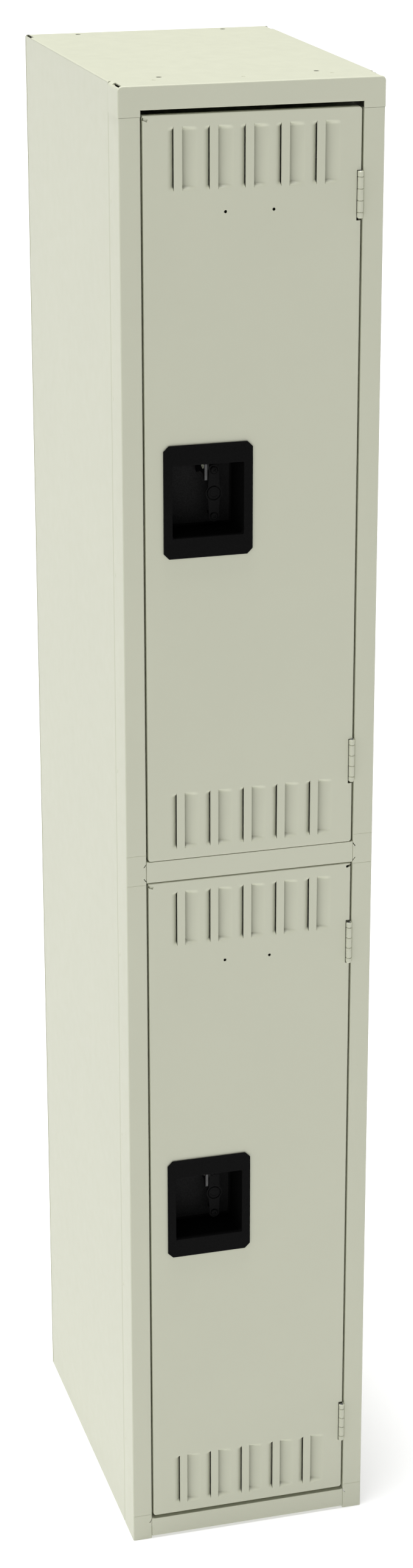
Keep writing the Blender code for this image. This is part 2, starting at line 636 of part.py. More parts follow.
def make_latch_channel(tier, bottom, floor, pivot):
    """U-shaped stiffener down the latch side, which holds the latch bar."""
    left, right = (LEFT + x for x in CHANNEL_X)
    near, far = FRONT + DOOR_SHEET + GAP, FRONT + CHANNEL_BACK
    path = [(left, far), (left, near), (right, near), (right, far)]
    ends = (bottom + DOOR_SHEET + GAP, bottom + DOOR_HEIGHT - DOOR_SHEET - GAP)
    channel = folded(f"{tier}_latch_channel", path, ends, "z", CHANNEL_SHEET, PAINT, pivot)
    across = (right - 4 * CHANNEL_SHEET, right + 4 * CHANNEL_SHEET)
    combine(channel, 'DIFFERENCE', box(f"{tier}_channel_slot", across, *arm_slot(floor)))


def make_latch_guides(tier, hooks, pivot):
    """Nylon blocks in the channel that the bar slides against."""
    across = (LEFT + BAR_X[1] + GAP, LEFT + CHANNEL_X[1] - CHANNEL_SHEET - GAP)
    for place, hook in zip(("lower", "upper"), hooks):
        low = hook - GUIDE_DROP
        box(f"{tier}_latch_guide_{place}", across, [FRONT + depth for depth in BAR_DEPTH],
            (low, low + GUIDE_HEIGHT), NYLON, pivot)


# ---------------------------------------------------------------- hinges and frame hooks
def knuckle_spans(centre_z, kind):
    """The frame's leaf holds the middle knuckle and the two half ones; the door's, the rest."""
    half = KNUCKLE / 2
    edges = {"frame": ((-4 * half, -3 * half), (-half, half), (3 * half, 4 * half)),
             "door": ((-3 * half, -half), (half, 3 * half))}[kind]
    return [(centre_z + low + GAP / 2, centre_z + high - GAP / 2) for low, high in edges]


def make_leaf(name, centre_z, kind, pivot=None):
    """A plate along the door's or the upright's side, rolled into knuckles round the pin."""
    across, far = LEAVES[kind]
    root = AXIS_PROUD
    spans = knuckle_spans(centre_z, kind)
    reach = 2 * KNUCKLE - GAP
    comb = [(LEAF_START, -reach)]
    for start, end in spans:
        low, high = (max(-reach, min(reach, z - centre_z)) for z in (start + GAP / 2, end - GAP / 2))
        comb += [(LEAF_START, low), (root, low), (root, high), (LEAF_START, high)]
    comb += [(LEAF_START, reach), (far, reach), (far, -reach)]
    outline = [point for point, after in zip(comb, comb[1:] + comb[:1]) if point != after]
    leaf = flat_plate(name, [outline], LEAF_SHEET, "yz", (AXIS_X + across, AXIS_Y, centre_z), PAINT, pivot)
    barrels = bmesh.new()
    for start, end in spans:
        add_cylinder(barrels, BARREL_RADIUS, end - start, (AXIS_X, AXIS_Y, (start + end) / 2))
    bore = cylinder(name + "_bore", BORE_RADIUS, 5 * KNUCKLE, (AXIS_X, AXIS_Y, centre_z))
    combine(leaf, 'UNION', add_object(name + "_knuckles", mesh_of(name + "_knuckles", barrels)))
    combine(leaf, 'DIFFERENCE', bore)


def make_hinge(tier, place, centre_z, pivot):
    make_leaf(f"{tier}_hinge_{place}_frame_leaf", centre_z, "frame")
    make_leaf(f"{tier}_hinge_{place}_door_leaf", centre_z, "door", pivot)
    cylinder(f"{tier}_hinge_{place}_pin", PIN_RADIUS, 4 * KNUCKLE, (AXIS_X, AXIS_Y, centre_z),
             material=STEEL)


def make_frame_hook(tier, place, z):
    """Bracket on the latch-side upright, with its lip just under the latch bar's finger."""
    jamb = LEFT + UPRIGHT_FACE + GAP
    near, far = (FRONT + depth for depth in HOOK_DEPTH)
    lip = HOOK_REACH - HOOK_LIP_LENGTH
    outline = [(0, -HOOK_HEIGHT), (HOOK_REACH, -HOOK_HEIGHT), (HOOK_REACH, 0), (lip, 0),
               (lip, -HOOK_STEP), (0, -HOOK_STEP)]
    hook = flat_plate(f"{tier}_frame_hook_{place}", [outline], far - near, "xz",
                      (jamb, (near + far) / 2, z), STEEL)
    foot = box(f"{tier}_hook_foot_{place}", (jamb, jamb + FOOT_SHEET), (near, near + FOOT_DEPTH),
               [z + end for end in FOOT_SPAN])
    combine(hook, 'UNION', foot)
    across, down = SILENCER_PLACE
    cylinder(f"{tier}_silencer_{place}", SILENCER_RADIUS, SILENCER_LENGTH,
             (jamb + across, near - GAP - SILENCER_LENGTH / 2, z + down), "y", RUBBER)


# ---------------------------------------------------------------- coat hooks
def make_ceiling_hook(name, ceiling):
    """Double hook: a screwed-on foot, a stem, and a prong each way."""
    foot, sheet_edge, stem, drop, rise = 0.0180, 0.0025, 0.0020, 0.0300, 0.0080
    inner, outer = 0.0090, 0.0090 + PRONG_STEEL
    middle = stem + inner
    right = [(foot, 0), (foot, -sheet_edge), (stem, -sheet_edge), (stem, -drop)]
    right += arc((middle, -drop), inner, 180, 360, 6)[1:]
    right += [(middle + inner, rise - drop), (middle + outer, rise - drop)]
    right += arc((middle, -drop), outer, 360, 270, 4)
    left = [(-x, z) for x, z in reversed(right)]
    flat_plate(name, [right + left], CEILING_HOOK_WIDTH, "xz", (0, FRONT + DEPTH / 2, ceiling - GAP), STEEL)


def make_wall_hook(name, side, z):
    """Single hook screwed to a side panel; side is -1 on the left and 1 on the right."""
    foot, top, bottom, rise = 0.0025, 0.0240, -0.0150, 0.0100
    inner, outer = 0.0080, 0.0080 + PRONG_STEEL
    middle = foot + inner
    outline = [(0, top), (0, bottom), (middle, -outer)] + arc((middle, 0), outer, 270, 360, 4)[1:]
    outline += [(middle + outer, rise), (middle + inner, rise)]
    outline += arc((middle, 0), inner, 360, 180, 6) + [(foot, top)]
    points = [(-side * x, up) for x, up in outline]
    flat_plate(name, [points], WALL_HOOK_WIDTH, "xz",
               (side * (RIGHT - SIDE_INNER), FRONT + DEPTH / 2, z), STEEL)


# ---------------------------------------------------------------- the whole locker
def make_tier(tier, hinges, hooks, ceiling):
    bottom = DOOR_BOTTOMS[tier]
    centre = bottom + DOOR_HEIGHT / 2
    floor = centre - CUP_OPENING / 2
    door = add_pivot(f"{tier}_door_pivot", (AXIS_X, AXIS_Y, centre))
    latch = add_pivot(f"{tier}_latch_slide", (TRIGGER_X, FRONT + EYE_DEPTH, floor + EYE_HEIGHT), door)
    make_door_panel(f"{tier}_door_panel", bottom, hinges, door)
    make_latch_channel(tier, bottom, floor, door)
    make_latch_guides(tier, hooks, door)
    make_cup(f"{tier}_handle_cup", centre, door)
    make_lock_blanks(tier, floor, door)
    make_staple(tier, floor, door)
    make_trigger(tier, floor, latch)
    make_latch_bar(tier, hooks, latch)
    for place, z in zip(("bottom", "top"), hinges):
        make_hinge(tier, place, z, door)
    for place, z in zip(("lower", "upper"), hooks):
        make_frame_hook(tier, place, z)
    make_ceiling_hook(f"{tier}_ceiling_hook", ceiling)
    make_wall_hook(f"{tier}_wall_hook_left", -1, ceiling - WALL_HOOK_DROP)
    make_wall_hook(f"{tier}_wall_hook_right", 1, ceiling - WALL_HOOK_DROP)


def make_locker():
    make_body()
    far, near = HINGE_OFFSETS
    far_hook, near_hook = HOOK_OFFSETS
    shelf_under = RAIL_TOP - FRAME_SHEET - GAP - BODY_SHEET
    make_tier("upper", (RAIL_CENTRE + near, RAIL_CENTRE + far),
              (RAIL_CENTRE + near_hook, RAIL_CENTRE + far_hook), PANEL_TOP - BODY_SHEET)
    make_tier("lower", (RAIL_CENTRE - far, RAIL_CENTRE - near),
              (RAIL_CENTRE - far_hook, RAIL_CENTRE - near_hook), shelf_under)


make_locker()
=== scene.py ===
"""Looks of the double-tier school locker: painted sheet metal, moulded cups, hinges and hooks.

Metres, +Z up, doors facing -Y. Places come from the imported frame; what the frame leaves plain,
such as fold radii, louvre curves and rivets, is sized here.
"""
from math import cos, pi, radians, sin

import bmesh
import bpy
from mathutils import Matrix, Vector


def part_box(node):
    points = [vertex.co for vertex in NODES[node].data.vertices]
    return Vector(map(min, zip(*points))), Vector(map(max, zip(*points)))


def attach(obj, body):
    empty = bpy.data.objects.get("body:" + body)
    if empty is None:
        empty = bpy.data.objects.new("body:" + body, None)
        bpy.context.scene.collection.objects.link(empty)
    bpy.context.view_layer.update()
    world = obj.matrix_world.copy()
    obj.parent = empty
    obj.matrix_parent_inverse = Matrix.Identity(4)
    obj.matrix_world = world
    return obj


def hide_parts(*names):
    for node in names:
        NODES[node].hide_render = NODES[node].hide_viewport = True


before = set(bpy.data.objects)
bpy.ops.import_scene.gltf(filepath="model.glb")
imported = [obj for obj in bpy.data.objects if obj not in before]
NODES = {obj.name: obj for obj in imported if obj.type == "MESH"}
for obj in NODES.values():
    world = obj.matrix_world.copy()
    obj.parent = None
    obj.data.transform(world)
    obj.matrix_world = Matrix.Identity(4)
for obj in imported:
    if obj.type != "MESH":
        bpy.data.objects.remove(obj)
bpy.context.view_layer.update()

# ---------------------------------------------------------------- sizes that the frame doesn't hold
GAP = 0.0003
TINY = 1e-6               # grid lines and corners closer than this are one
MERGE = 1e-7
WELD_REACH = 1e-5
CUT_REACH = 0.0050        # how far a hole's cutter runs past the sheet's face on each side
SMOOTH_ANGLE = radians(32)
BEVEL_ANGLE = radians(35)
FLAT_ANGLE = radians(0.1)
FRAME_SHEET = 0.0015
BODY_SHEET = 0.0008
DOOR_SHEET = 0.0012
FRAME_BEND = 0.0016       # outer radius of a fold
DOOR_BEND = 0.0014
RAIL_EDGE = 0.0004
RAIL_SINK = 0.0007        # the middle rail stands this much closer to the doors below and above it
RAIL_RISE = 0.0012
PANEL_BEND = 0.0014
BEND_STEPS = 4
LIP_BEND = 0.6 * FRAME_BEND
HEADER_CORNER = 0.0052    # how far a face's corners are rounded
DOOR_CORNER = 0.0036
CORNER_TURNS = [15 * step for step in range(7)]

LAP = 0.0006              # the header's cheeks stand this far outside the uprights
UPRIGHT_FACE = 0.0250
HEADER_FACE = 0.0265
RETURN_DEPTH = 0.0200
SEAM = 0.0003             # half the width, and the depth, of a seam in the paint
MID_TABS = (0.8998, 0.9372)
SILL_TAB = 0.0350
SLIT_WIDTH = 0.0010       # relief slits run out from the openings' corners
SLIT_LENGTH = 0.0060
SLIT_TILT = radians(36)
SLIT_CUT = 0.0080
DOOR_SLIT = (0.0030, 0.0070)
DOOR_SLIT_DROP = 0.0034
DOOR_SLIT_TILT = radians(20)
DOOR_SLIT_OUTSIDE = 0.0010
SECOND_SLIT_DROP = 0.7 * DOOR_SLIT_DROP
SLOT_START = 0.0018
HEADER_SLOT_START = 0.0019
SLOT_REACH = 0.0290       # how far back the slots in the header's corners run
SLOT_TURN = 45            # degrees of the rounded corner that a slot takes
TOP_SEAM = 0.0010
TOP_DROP = 0.0003         # the top sheet lies this much below the header's flange
JOGGLE = 0.0030
SIDE_INSET = 0.0004
REAR_FLANGE = 0.0150
SIDE_REACH = 0.0220       # how near the front the side panels start, inside the uprights
ROLL_LAND = 2.6 * PANEL_BEND
TOP_REAR_FLANGE = 0.0120

LOUVRES = 5
LOUVRE_PITCH = 0.0409
LOUVRE_CENTRE_X = -0.0036
LOUVRE_HEIGHT = 0.0695
LOUVRE_MARGIN = 0.0134
LOUVRE_STRIP = 0.0095
LOUVRE_SHOULDER = 0.0070
LOUVRE_RAMP = 0.0180
SHOULDER_DEPTH = 0.0045
RAMP_DEPTH = 0.0065
LOUVRE_END = 0.0050
LOUVRE_BORDER = 0.0006    # a narrow row round each louvre keeps the sheet beside it flat
SHOULDER_STEPS, RAMP_STEPS, END_STEPS = 7, 12, 6
LANCE = 0.0004
SHOULDER_CURVE = 1.5
RAMP_CURVE = 1.1
PLATE_HOLE_RADIUS = 0.0018
PLATE_HOLE_SPACING = 0.0556
PLATE_HOLE_DROP = 0.1082

BARREL_RADIUS = 0.0034
BORE_RADIUS = 0.0023
KNUCKLE = 0.0132
BARREL_CHAMFER = 0.0011
KNUCKLE_CHAMFER = 0.0006
PIN_RADIUS = 0.0021
PIN_CHAMFER = 0.0004
FRAME_LEAF = (0.0022, 0.0032)
DOOR_LEAF = (-0.0026, -0.0016)
LEAF_START = 0.0044
TONGUE = (0.0015, 0.0045)
NOTCH_CLEARANCE = 0.0006
NOTCH_EXTRA = 0.0020      # the notch runs on past the end of the barrel nearer the door's middle
NOTCH_DEPTH = 0.0060
NOTCH_OVERRUN = 0.0100
TOP_FLANGE = 0.0080       # the doors' top edges turn in only this far

CUP_WIDTH = 0.0842
CUP_OPENING = 0.0848
CUP_HEIGHT = 0.1030
CUP_DEPTH = 0.0505
CUP_WALL = 0.0020
BEZEL_CORNER = 0.0064
BEZEL_EDGE = 0.0007
MOUTH_CORNER = 0.0012
TUB_CORNER = 0.0040
TUB_TAPER = 0.9           # how fast the tub's corners tighten towards its rounded back
CUP_CUT_SIDE = 0.0080     # the door's hole stops this far inside the cup's CAD solid
CUP_CUT_LOW = 0.0210
CUP_CUT_HIGH = 0.0030
SCREW_BOSS_RADIUS = 0.0064
LOCK_BOSS_RADIUS = 0.0100
BOSS_PLATE = 0.0020
BACK_PLATE = 0.0004
BACK_PLATE_CORNER = 0.0010
CUP_CORNER = 0.0030
POST_RADIUS = 0.0025
POST_SINK = 0.0005
RING_GAP = 0.0009
WELL_RADIUS = 0.0047
EYELET_WALL = 0.0006
EYE_RADIUS = 0.0055
EYE_HEIGHT = 0.0810
EYE_DEPTH = 0.0162
ARM_DEPTH = (0.0100, 0.0160)
ARM_RISE = (0.0885, 0.0925)
ARM_CLEARANCE = 0.0005
LIFT_TRAVEL = 0.0095

HOOK_EDGE = 0.0011

RIVET_RADIUS = 0.0026
RIVET_PROUD = 0.0004
SIDE_RIVET_DEPTH = 0.0390
SIDE_RIVETS = (0.1290, 0.3510, 0.5585, 0.7985, 1.0325, 1.2710, 1.4775, 1.7000)
TOP_RIVETS = (-0.1020, 0.0, 0.1020)
TOP_RIVET_DEPTH = 0.0380
DIMPLE = [(0, -0.0013), (0.0016, -0.0013), (0.0020, -0.0010), (0.0025, 0), (0.0026, 0.0005),
          (0, 0.0005)]
RIVET_SINK = 0.0006
TOP_HOLE_RADIUS = 0.0032
TOP_HOLES_X = 0.0906
TOP_HOLES_DEPTH = (0.060, 0.441)

# ---------------------------------------------------------------- places read from the frame
header_low, header_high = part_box("frame_header")
LEFT, RIGHT, FRONT, HEIGHT = header_low.x, header_high.x, header_low.y, header_high.z
UPRIGHT_TOP = header_low.z
FRAME_BACK = header_high.y
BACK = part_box("back_panel")[1].y
OPENING_TOP = HEIGHT - HEADER_FACE
RAIL_LOW, RAIL_HIGH = (corner.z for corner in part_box("frame_mid_rail"))
SILL_LOW, SILL_HIGH = (corner.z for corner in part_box("frame_sill"))
INNER = LEFT + UPRIGHT_FACE
TIERS = ("upper", "lower")


# ---------------------------------------------------------------- materials
def new_material(name, colour, roughness, metallic=0.0):
    material = bpy.data.materials.new(name)
    material.use_nodes = True
    shader = material.node_tree.nodes["Principled BSDF"]
    shader.inputs["Base Color"].default_value = (*colour, 1)
    shader.inputs["Roughness"].default_value = roughness
    shader.inputs["Metallic"].default_value = metallic
    return material, shader, material.node_tree


def noise(tree, scale, detail=2.0, roughness=0.5, stretch=(1, 1, 1)):
    """A noise texture in the piece's own coordinates, so it stays put when the piece moves."""
    nodes, links = tree.nodes, tree.links
    place = nodes.new("ShaderNodeTexCoord")
    mapping = nodes.new("ShaderNodeMapping")
    mapping.inputs["Scale"].default_value = stretch
    texture = nodes.new("ShaderNodeTexNoise")
    texture.inputs["Scale"].default_value = scale
    texture.inputs["Detail"].default_value = detail
    texture.inputs["Roughness"].default_value = roughness
    links.new(place.outputs["Object"], mapping.inputs["Vector"])
    links.new(mapping.outputs["Vector"], texture.inputs["Vector"])
    return texture.outputs["Fac"]


def ramp(tree, source, stops):
    """Maps 0..1 to colours at the (place, colour) stops."""
    node = tree.nodes.new("ShaderNodeValToRGB")
    elements = node.color_ramp.elements
    while len(elements) < len(stops):
        elements.new(0.5)
    for element, (place, colour) in zip(elements, stops):
        element.position = place
        element.color = (*colour, 1)
    tree.links.new(source, node.inputs["Fac"])
    return node.outputs["Color"]


def spread(tree, source, low, high):
    """Maps 0..1 to low..high."""
    node = tree.nodes.new("ShaderNodeMapRange")
    node.inputs["To Min"].default_value = low
    node.inputs["To Max"].default_value = high
    tree.links.new(source, node.inputs["Value"])
    return node.outputs["Result"]


def bump(tree, shader, layers):
    """Stacks (height, distance, strength) layers of bump on the shader."""
    normal = None
    for height, distance, strength in layers:
        node = tree.nodes.new("ShaderNodeBump")
        node.inputs["Distance"].default_value = distance
        node.inputs["Strength"].default_value = strength
        tree.links.new(height, node.inputs["Height"])
        if normal:
            tree.links.new(normal, node.inputs["Normal"])
        normal = node.outputs["Normal"]
    tree.links.new(normal, shader.inputs["Normal"])


def tinted(colour, factor):
    return tuple(channel * factor for channel in colour)


def paint_material():
    """Baked enamel: nearly even, with a fine orange peel and slightly uneven gloss."""
    colour = (0.600, 0.612, 0.482)
    material, shader, tree = new_material("baked_enamel", colour, 0.42)
    cloudy = noise(tree, scale=9.0, detail=3.0, roughness=0.55)
    tone = ramp(tree, cloudy, [(0.30, tinted(colour, 0.993)), (0.70, tinted(colour, 1.007))])
    tree.links.new(tone, shader.inputs["Base Color"])
    tree.links.new(spread(tree, noise(tree, scale=60.0, detail=3.0), 0.36, 0.50), shader.inputs["Roughness"])
    peel, waves = noise(tree, scale=650.0, detail=2.0), noise(tree, scale=140.0, detail=2.0)
    bump(tree, shader, [(peel, 0.00012, 0.25), (waves, 0.0002, 0.12)])
    return material


def plastic_material(name, shade):
    """Black moulded plastic with a fine spark-eroded grain."""
    colour = (shade, shade, shade)
    material, shader, tree = new_material(name, colour, 0.55)
    shader.inputs["Specular IOR Level"].default_value = 0.04
    grain = noise(tree, scale=900.0, detail=3.0)
    tone = ramp(tree, grain, [(0.35, tinted(colour, 0.8)), (0.65, tinted(colour, 1.25))])
    tree.links.new(tone, shader.inputs["Base Color"])
    tree.links.new(spread(tree, noise(tree, scale=35.0), 0.48, 0.62), shader.inputs["Roughness"])
    bump(tree, shader, [(noise(tree, scale=1500.0, detail=2.0), 0.00010, 0.45)])
    return material


def steel_material(name, colour, roughness):
    """Zinc-plated steel with faint spangle and rubbed streaks."""
    material, shader, tree = new_material(name, colour, roughness, 0.9)
    spangle = tree.nodes.new("ShaderNodeTexVoronoi")
    spangle.inputs["Scale"].default_value = 170.0
    place = tree.nodes.new("ShaderNodeTexCoord")
    tree.links.new(place.outputs["Object"], spangle.inputs["Vector"])
    patch = tree.nodes.new("ShaderNodeSeparateColor")
    tree.links.new(spangle.outputs["Color"], patch.inputs["Color"])
    tone = ramp(tree, patch.outputs["Red"], [(0.0, tinted(colour, 0.86)), (1.0, tinted(colour, 1.12))])
    tree.links.new(tone, shader.inputs["Base Color"])
    streaks = noise(tree, scale=90.0, detail=4.0, roughness=0.6, stretch=(6, 6, 0.4))
    tree.links.new(spread(tree, streaks, roughness - 0.08, roughness + 0.12), shader.inputs["Roughness"])
    bump(tree, shader, [(streaks, 0.00008, 0.2)])
    return material


def rubber_material():
    """Matt black rubber with a mottled surface."""
    colour = (0.014, 0.014, 0.013)
    material, shader, tree = new_material("black_rubber_bumper", colour, 0.8)
    patches = noise(tree, scale=240.0, detail=3.0)
    tone = ramp(tree, patches, [(0.3, tinted(colour, 0.7)), (0.7, tinted(colour, 1.5))])
    tree.links.new(tone, shader.inputs["Base Color"])
    tree.links.new(spread(tree, noise(tree, scale=120.0), 0.72, 0.9), shader.inputs["Roughness"])
    bump(tree, shader, [(noise(tree, scale=800.0), 0.0001, 0.4)])
    return material


def nylon_material():
    """Off-white nylon that lets a little light in."""
    colour = (0.72, 0.71, 0.66)
    material, shader, tree = new_material("natural_nylon", colour, 0.45)
    shader.inputs["Subsurface Weight"].default_value = 0.1
    shader.inputs["Subsurface Radius"].default_value = (0.002, 0.002, 0.0015)
    patches = noise(tree, scale=70.0, detail=3.0)
    tone = ramp(tree, patches, [(0.3, tinted(colour, 0.95)), (0.7, tinted(colour, 1.03))])
    tree.links.new(tone, shader.inputs["Base Color"])
    tree.links.new(spread(tree, noise(tree, scale=50.0), 0.4, 0.55), shader.inputs["Roughness"])
    bump(tree, shader, [(noise(tree, scale=500.0), 0.00008, 0.3)])
    return material


PAINT = (paint_material(), "putty_paint")
PLASTIC = (plastic_material("moulded_black", 0.0042), "black_plastic")
# Painted light: lighter copies of the same black plastic for the lock mount, its blank and screws, and
# lighter still for the cup's back plate, lifting them against the shade deep in the cup.
LIGHTENED_PLASTIC = (plastic_material("moulded_black_painted_light", 0.0090), "black_plastic")
MOST_LIGHTENED_PLASTIC = (plastic_material("moulded_black_painted_more_light", 0.0190), "black_plastic")
ZINC = (steel_material("zinc_plate", (0.42, 0.43, 0.44), 0.38), "zinc_steel")
# Lit and shaded copies of one steel: a grey one for the trigger's forward-facing edge, which catches the
# light, and a near-black one, painted shade, for its sides and for the staple in the cup's shade.
LIT_TRIGGER_STEEL = (steel_material("trigger_edge_painted_light", (0.085, 0.085, 0.085), 0.5), "zinc_steel")
SHADED_STEEL = (steel_material("steel_painted_shade", (0.010, 0.010, 0.010), 0.5), "zinc_steel")
RUBBER = (rubber_material(), "black_rubber")
NYLON = (nylon_material(), "white_nylon")


# ---------------------------------------------------------------- making pieces
def settle(thing):
    """Applies the modifiers and shades the result smooth, except over sharp edges."""
    if "flat_faces_stay_flat" in thing.modifiers:
        thing.modifiers.remove(thing.modifiers["flat_faces_stay_flat"])
    graph = bpy.context.evaluated_depsgraph_get()
    thing.data = bpy.data.meshes.new_from_object(thing.evaluated_get(graph))
    thing.modifiers.clear()
    thing.data.shade_smooth()
    thing.data.set_sharp_from_angle(angle=SMOOTH_ANGLE)
    normals = thing.modifiers.new("flat_faces_stay_flat", 'WEIGHTED_NORMAL')
    normals.keep_sharp = True


def add_piece(name, bm, finish, body, *nodes):
    """A new piece that rides on a body, takes a finish, and stands for the named nodes."""
    mesh = bpy.data.meshes.new(name)
    bm.to_mesh(mesh)
    bm.free()
    thing = bpy.data.objects.new(name, mesh)
    bpy.context.scene.collection.objects.link(thing)
    material, slot = finish
    mesh.materials.append(material)
    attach(thing, body)
    if nodes:
        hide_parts(*nodes)
    return thing


def add_grid(bm, us, vs, place, keep=None):
    """Quads over the lines us and vs. place(u, v) is a point, and du x dv faces outwards."""
    corners = {}

    def corner(i, j):
        if (i, j) not in corners:
            corners[i, j] = bm.verts.new(place(us[i], vs[j]))
        return corners[i, j]

    for i in range(len(us) - 1):
        for j in range(len(vs) - 1):
            middle = ((us[i] + us[i + 1]) / 2, (vs[j] + vs[j + 1]) / 2)
            if keep is None or keep(*middle):
                bm.faces.new([corner(i, j), corner(i + 1, j), corner(i + 1, j + 1), corner(i, j + 1)])


def skin(name, bm, thickness, finish, body, *nodes):
    """Welds the grids into one sheet and thickens it inwards."""
    bmesh.ops.remove_doubles(bm, verts=bm.verts, dist=TINY)
    thing = add_piece(name, bm, finish, body, *nodes)
    solid = thing.modifiers.new("thickness", 'SOLIDIFY')
    solid.thickness = thickness
    solid.offset = -1
    solid.use_even_offset = True
    settle(thing)
    return thing


def cut(thing, bm):
    """Cuts a mesh out of a piece."""
    tool = bpy.data.objects.new("tool", bpy.data.meshes.new("tool"))
    bm.to_mesh(tool.data)
    bm.free()
    bpy.context.scene.collection.objects.link(tool)
    step = thing.modifiers.new("cut", 'BOOLEAN')
    step.operation = 'DIFFERENCE'
    step.solver = 'EXACT'
    step.object = tool
    settle(thing)
    bpy.data.objects.remove(tool)


def soften(thing, width, segments=2):
    """Rounds the sharp edges."""
    bevel = thing.modifiers.new("rounded_edges", 'BEVEL')
    bevel.width = width
    bevel.segments = segments
    bevel.limit_method = 'ANGLE'
    bevel.angle_limit = BEVEL_ANGLE
    return thing


def fillet(points, radius, steps=BEND_STEPS):
    """The open path with each inner corner rounded."""
    path = [Vector(points[0])]
    for before, corner, after in zip(points, points[1:], points[2:]):
        corner = Vector(corner)
        back, ahead = (Vector(before) - corner).normalized(), (Vector(after) - corner).normalized()
        turn = pi - back.angle(ahead)
        reach = radius * sin(turn / 2) / cos(turn / 2)
        centre = corner + (back + ahead).normalized() * (radius / cos(turn / 2))
        start, end = corner + back * reach - centre, corner + ahead * reach - centre
        for step in range(steps + 1):
            path.append(centre + start.slerp(end, step / steps).normalized() * radius)
    return path + [Vector(points[-1])]


def arc(centre, radius, start, end, steps):
    """Points of an arc between two angles in degrees."""
    angles = (radians(start + (end - start) * step / steps) for step in range(steps + 1))
    return [(centre[0] + radius * cos(angle), centre[1] + radius * sin(angle)) for angle in angles]


def add_block(bm, x, y, z, turn=Matrix()):
    """A box between two ends on each axis, turned about its own centre."""
    low, high = (Vector(ends) for ends in zip(x, y, z))
    place = Matrix.Translation((low + high) / 2) @ turn @ Matrix.Diagonal((*(high - low), 1))
    bmesh.ops.create_cube(bm, size=1, matrix=place)


AXES = {"x": Matrix.Rotation(pi / 2, 4, 'Y'), "y": Matrix.Rotation(pi / 2, 4, 'X'),
        "-y": Matrix.Rotation(-pi / 2, 4, 'X'), "-x": Matrix.Rotation(-pi / 2, 4, 'Y'), "z": Matrix()}


def add_turned(bm, profile, centre, axis="z", steps=32):
    """A closed turned shape. The profile's (radius, height) points run up its outside."""
    matrix = Matrix.Translation(centre) @ AXES[axis]
    turns = [2 * pi * step / steps for step in range(steps + 1)]
    fresh = bmesh.new()
    add_grid(fresh, turns, range(len(profile)), lambda a, i: matrix @ Vector(
        (profile[i][0] * cos(a), profile[i][0] * sin(a), profile[i][1])))
    bmesh.ops.remove_doubles(fresh, verts=fresh.verts, dist=MERGE)
    mesh = bpy.data.meshes.new("turned")
    fresh.to_mesh(mesh)
    fresh.free()
    bm.from_mesh(mesh)
    bpy.data.meshes.remove(mesh)


def rod(radius, low, high, chamfer=0.0):
    """Profile of a round bar between two heights, closed at both ends."""
    side = [(radius, low), (radius, high)]
    if chamfer:
        side = [(radius - chamfer, low), (radius, low + chamfer),
                (radius, high - chamfer), (radius - chamfer, high)]
    return [(0, low)] + side + [(0, high)]


def plate_mesh(outlines, thickness, plane, centre):
    """A plate cut to outlines, the first its edge and the rest its holes, in plane "yz" or "xz"."""
    curve = bpy.data.curves.new("outline", 'CURVE')
    curve.dimensions = '2D'
    curve.fill_mode = 'BOTH'
    curve.extrude = thickness / 2
    for points in outlines:
        spline = curve.splines.new('POLY')
        spline.points.add(len(points) - 1)
        spline.use_cyclic_u = True
        for point, (across, up) in zip(spline.points, points):
            point.co = (across, up, 0, 1)
    source = bpy.data.objects.new("outline", curve)
    bpy.context.scene.collection.objects.link(source)
    mesh = bpy.data.meshes.new_from_object(source.evaluated_get(bpy.context.evaluated_depsgraph_get()))
    bpy.data.objects.remove(source)
    bm = bmesh.new()
    bm.from_mesh(mesh)
    bmesh.ops.remove_doubles(bm, verts=bm.verts, dist=MERGE)
    bmesh.ops.dissolve_limit(bm, angle_limit=FLAT_ANGLE, verts=bm.verts, edges=bm.edges)
    upright = Matrix.Rotation(pi / 2, 4, 'X')
    if plane == "yz":
        upright = Matrix.Rotation(pi / 2, 4, 'Z') @ upright
    bmesh.ops.transform(bm, matrix=Matrix.Translation(centre) @ upright, verts=bm.verts)
    bmesh.ops.recalc_face_normals(bm, faces=bm.faces)
    return bm


def round_hole(radius):
    """48 points of a circle about a plate's centre."""
    return arc((0, 0), radius, 0, 352.5, 47)


def centre_of(node):
    low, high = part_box(node)
    return (low + high) / 2


def between(value, pair):
    return pair[0] < value < pair[1]


# ---------------------------------------------------------------- frame
def fold_rings(corner, bend, depths):
    """(Outwards, backwards) offsets from a face's inner rectangle, round its fold and back."""
    turns = [pi / 2 * step / BEND_STEPS for step in range(BEND_STEPS)]
    rings = [(0.0, 0.0)] + [(corner - bend + bend * sin(a), bend * (1 - cos(a))) for a in turns]
    return rings + [(corner, bend)] + [(corner, depth) for depth in depths]


def add_corner(bm, x, z, first, rings, square=False, keep=None):
    """The rings carried round a quarter turn about (x, z), rounded or square."""
    def place(turn, i):
        across, up = cos(radians(turn)), sin(radians(turn))
        size = max(abs(across), abs(up)) if square else 1
        out = rings[i][0] / size
        return (x + out * across, FRONT + rings[i][1], z + out * up)

    add_grid(bm, [first + turn for turn in CORNER_TURNS], range(len(rings))[::-1], place, keep)


def slit(x, z, tilt, size=(SLIT_WIDTH, SLIT_LENGTH)):
    """A cutter through the front face: size is its width and its length down from (x, z)."""
    bm = bmesh.new()
    turn = Matrix.Translation((x, FRONT, z)) @ Matrix.Rotation(tilt, 4, 'Y')
    block = Matrix.Translation((0, 0, -size[1] / 2)) @ Matrix.Diagonal((size[0], SLIT_CUT, size[1], 1))
    bmesh.ops.create_cube(bm, size=1, matrix=turn @ block)
    return bm


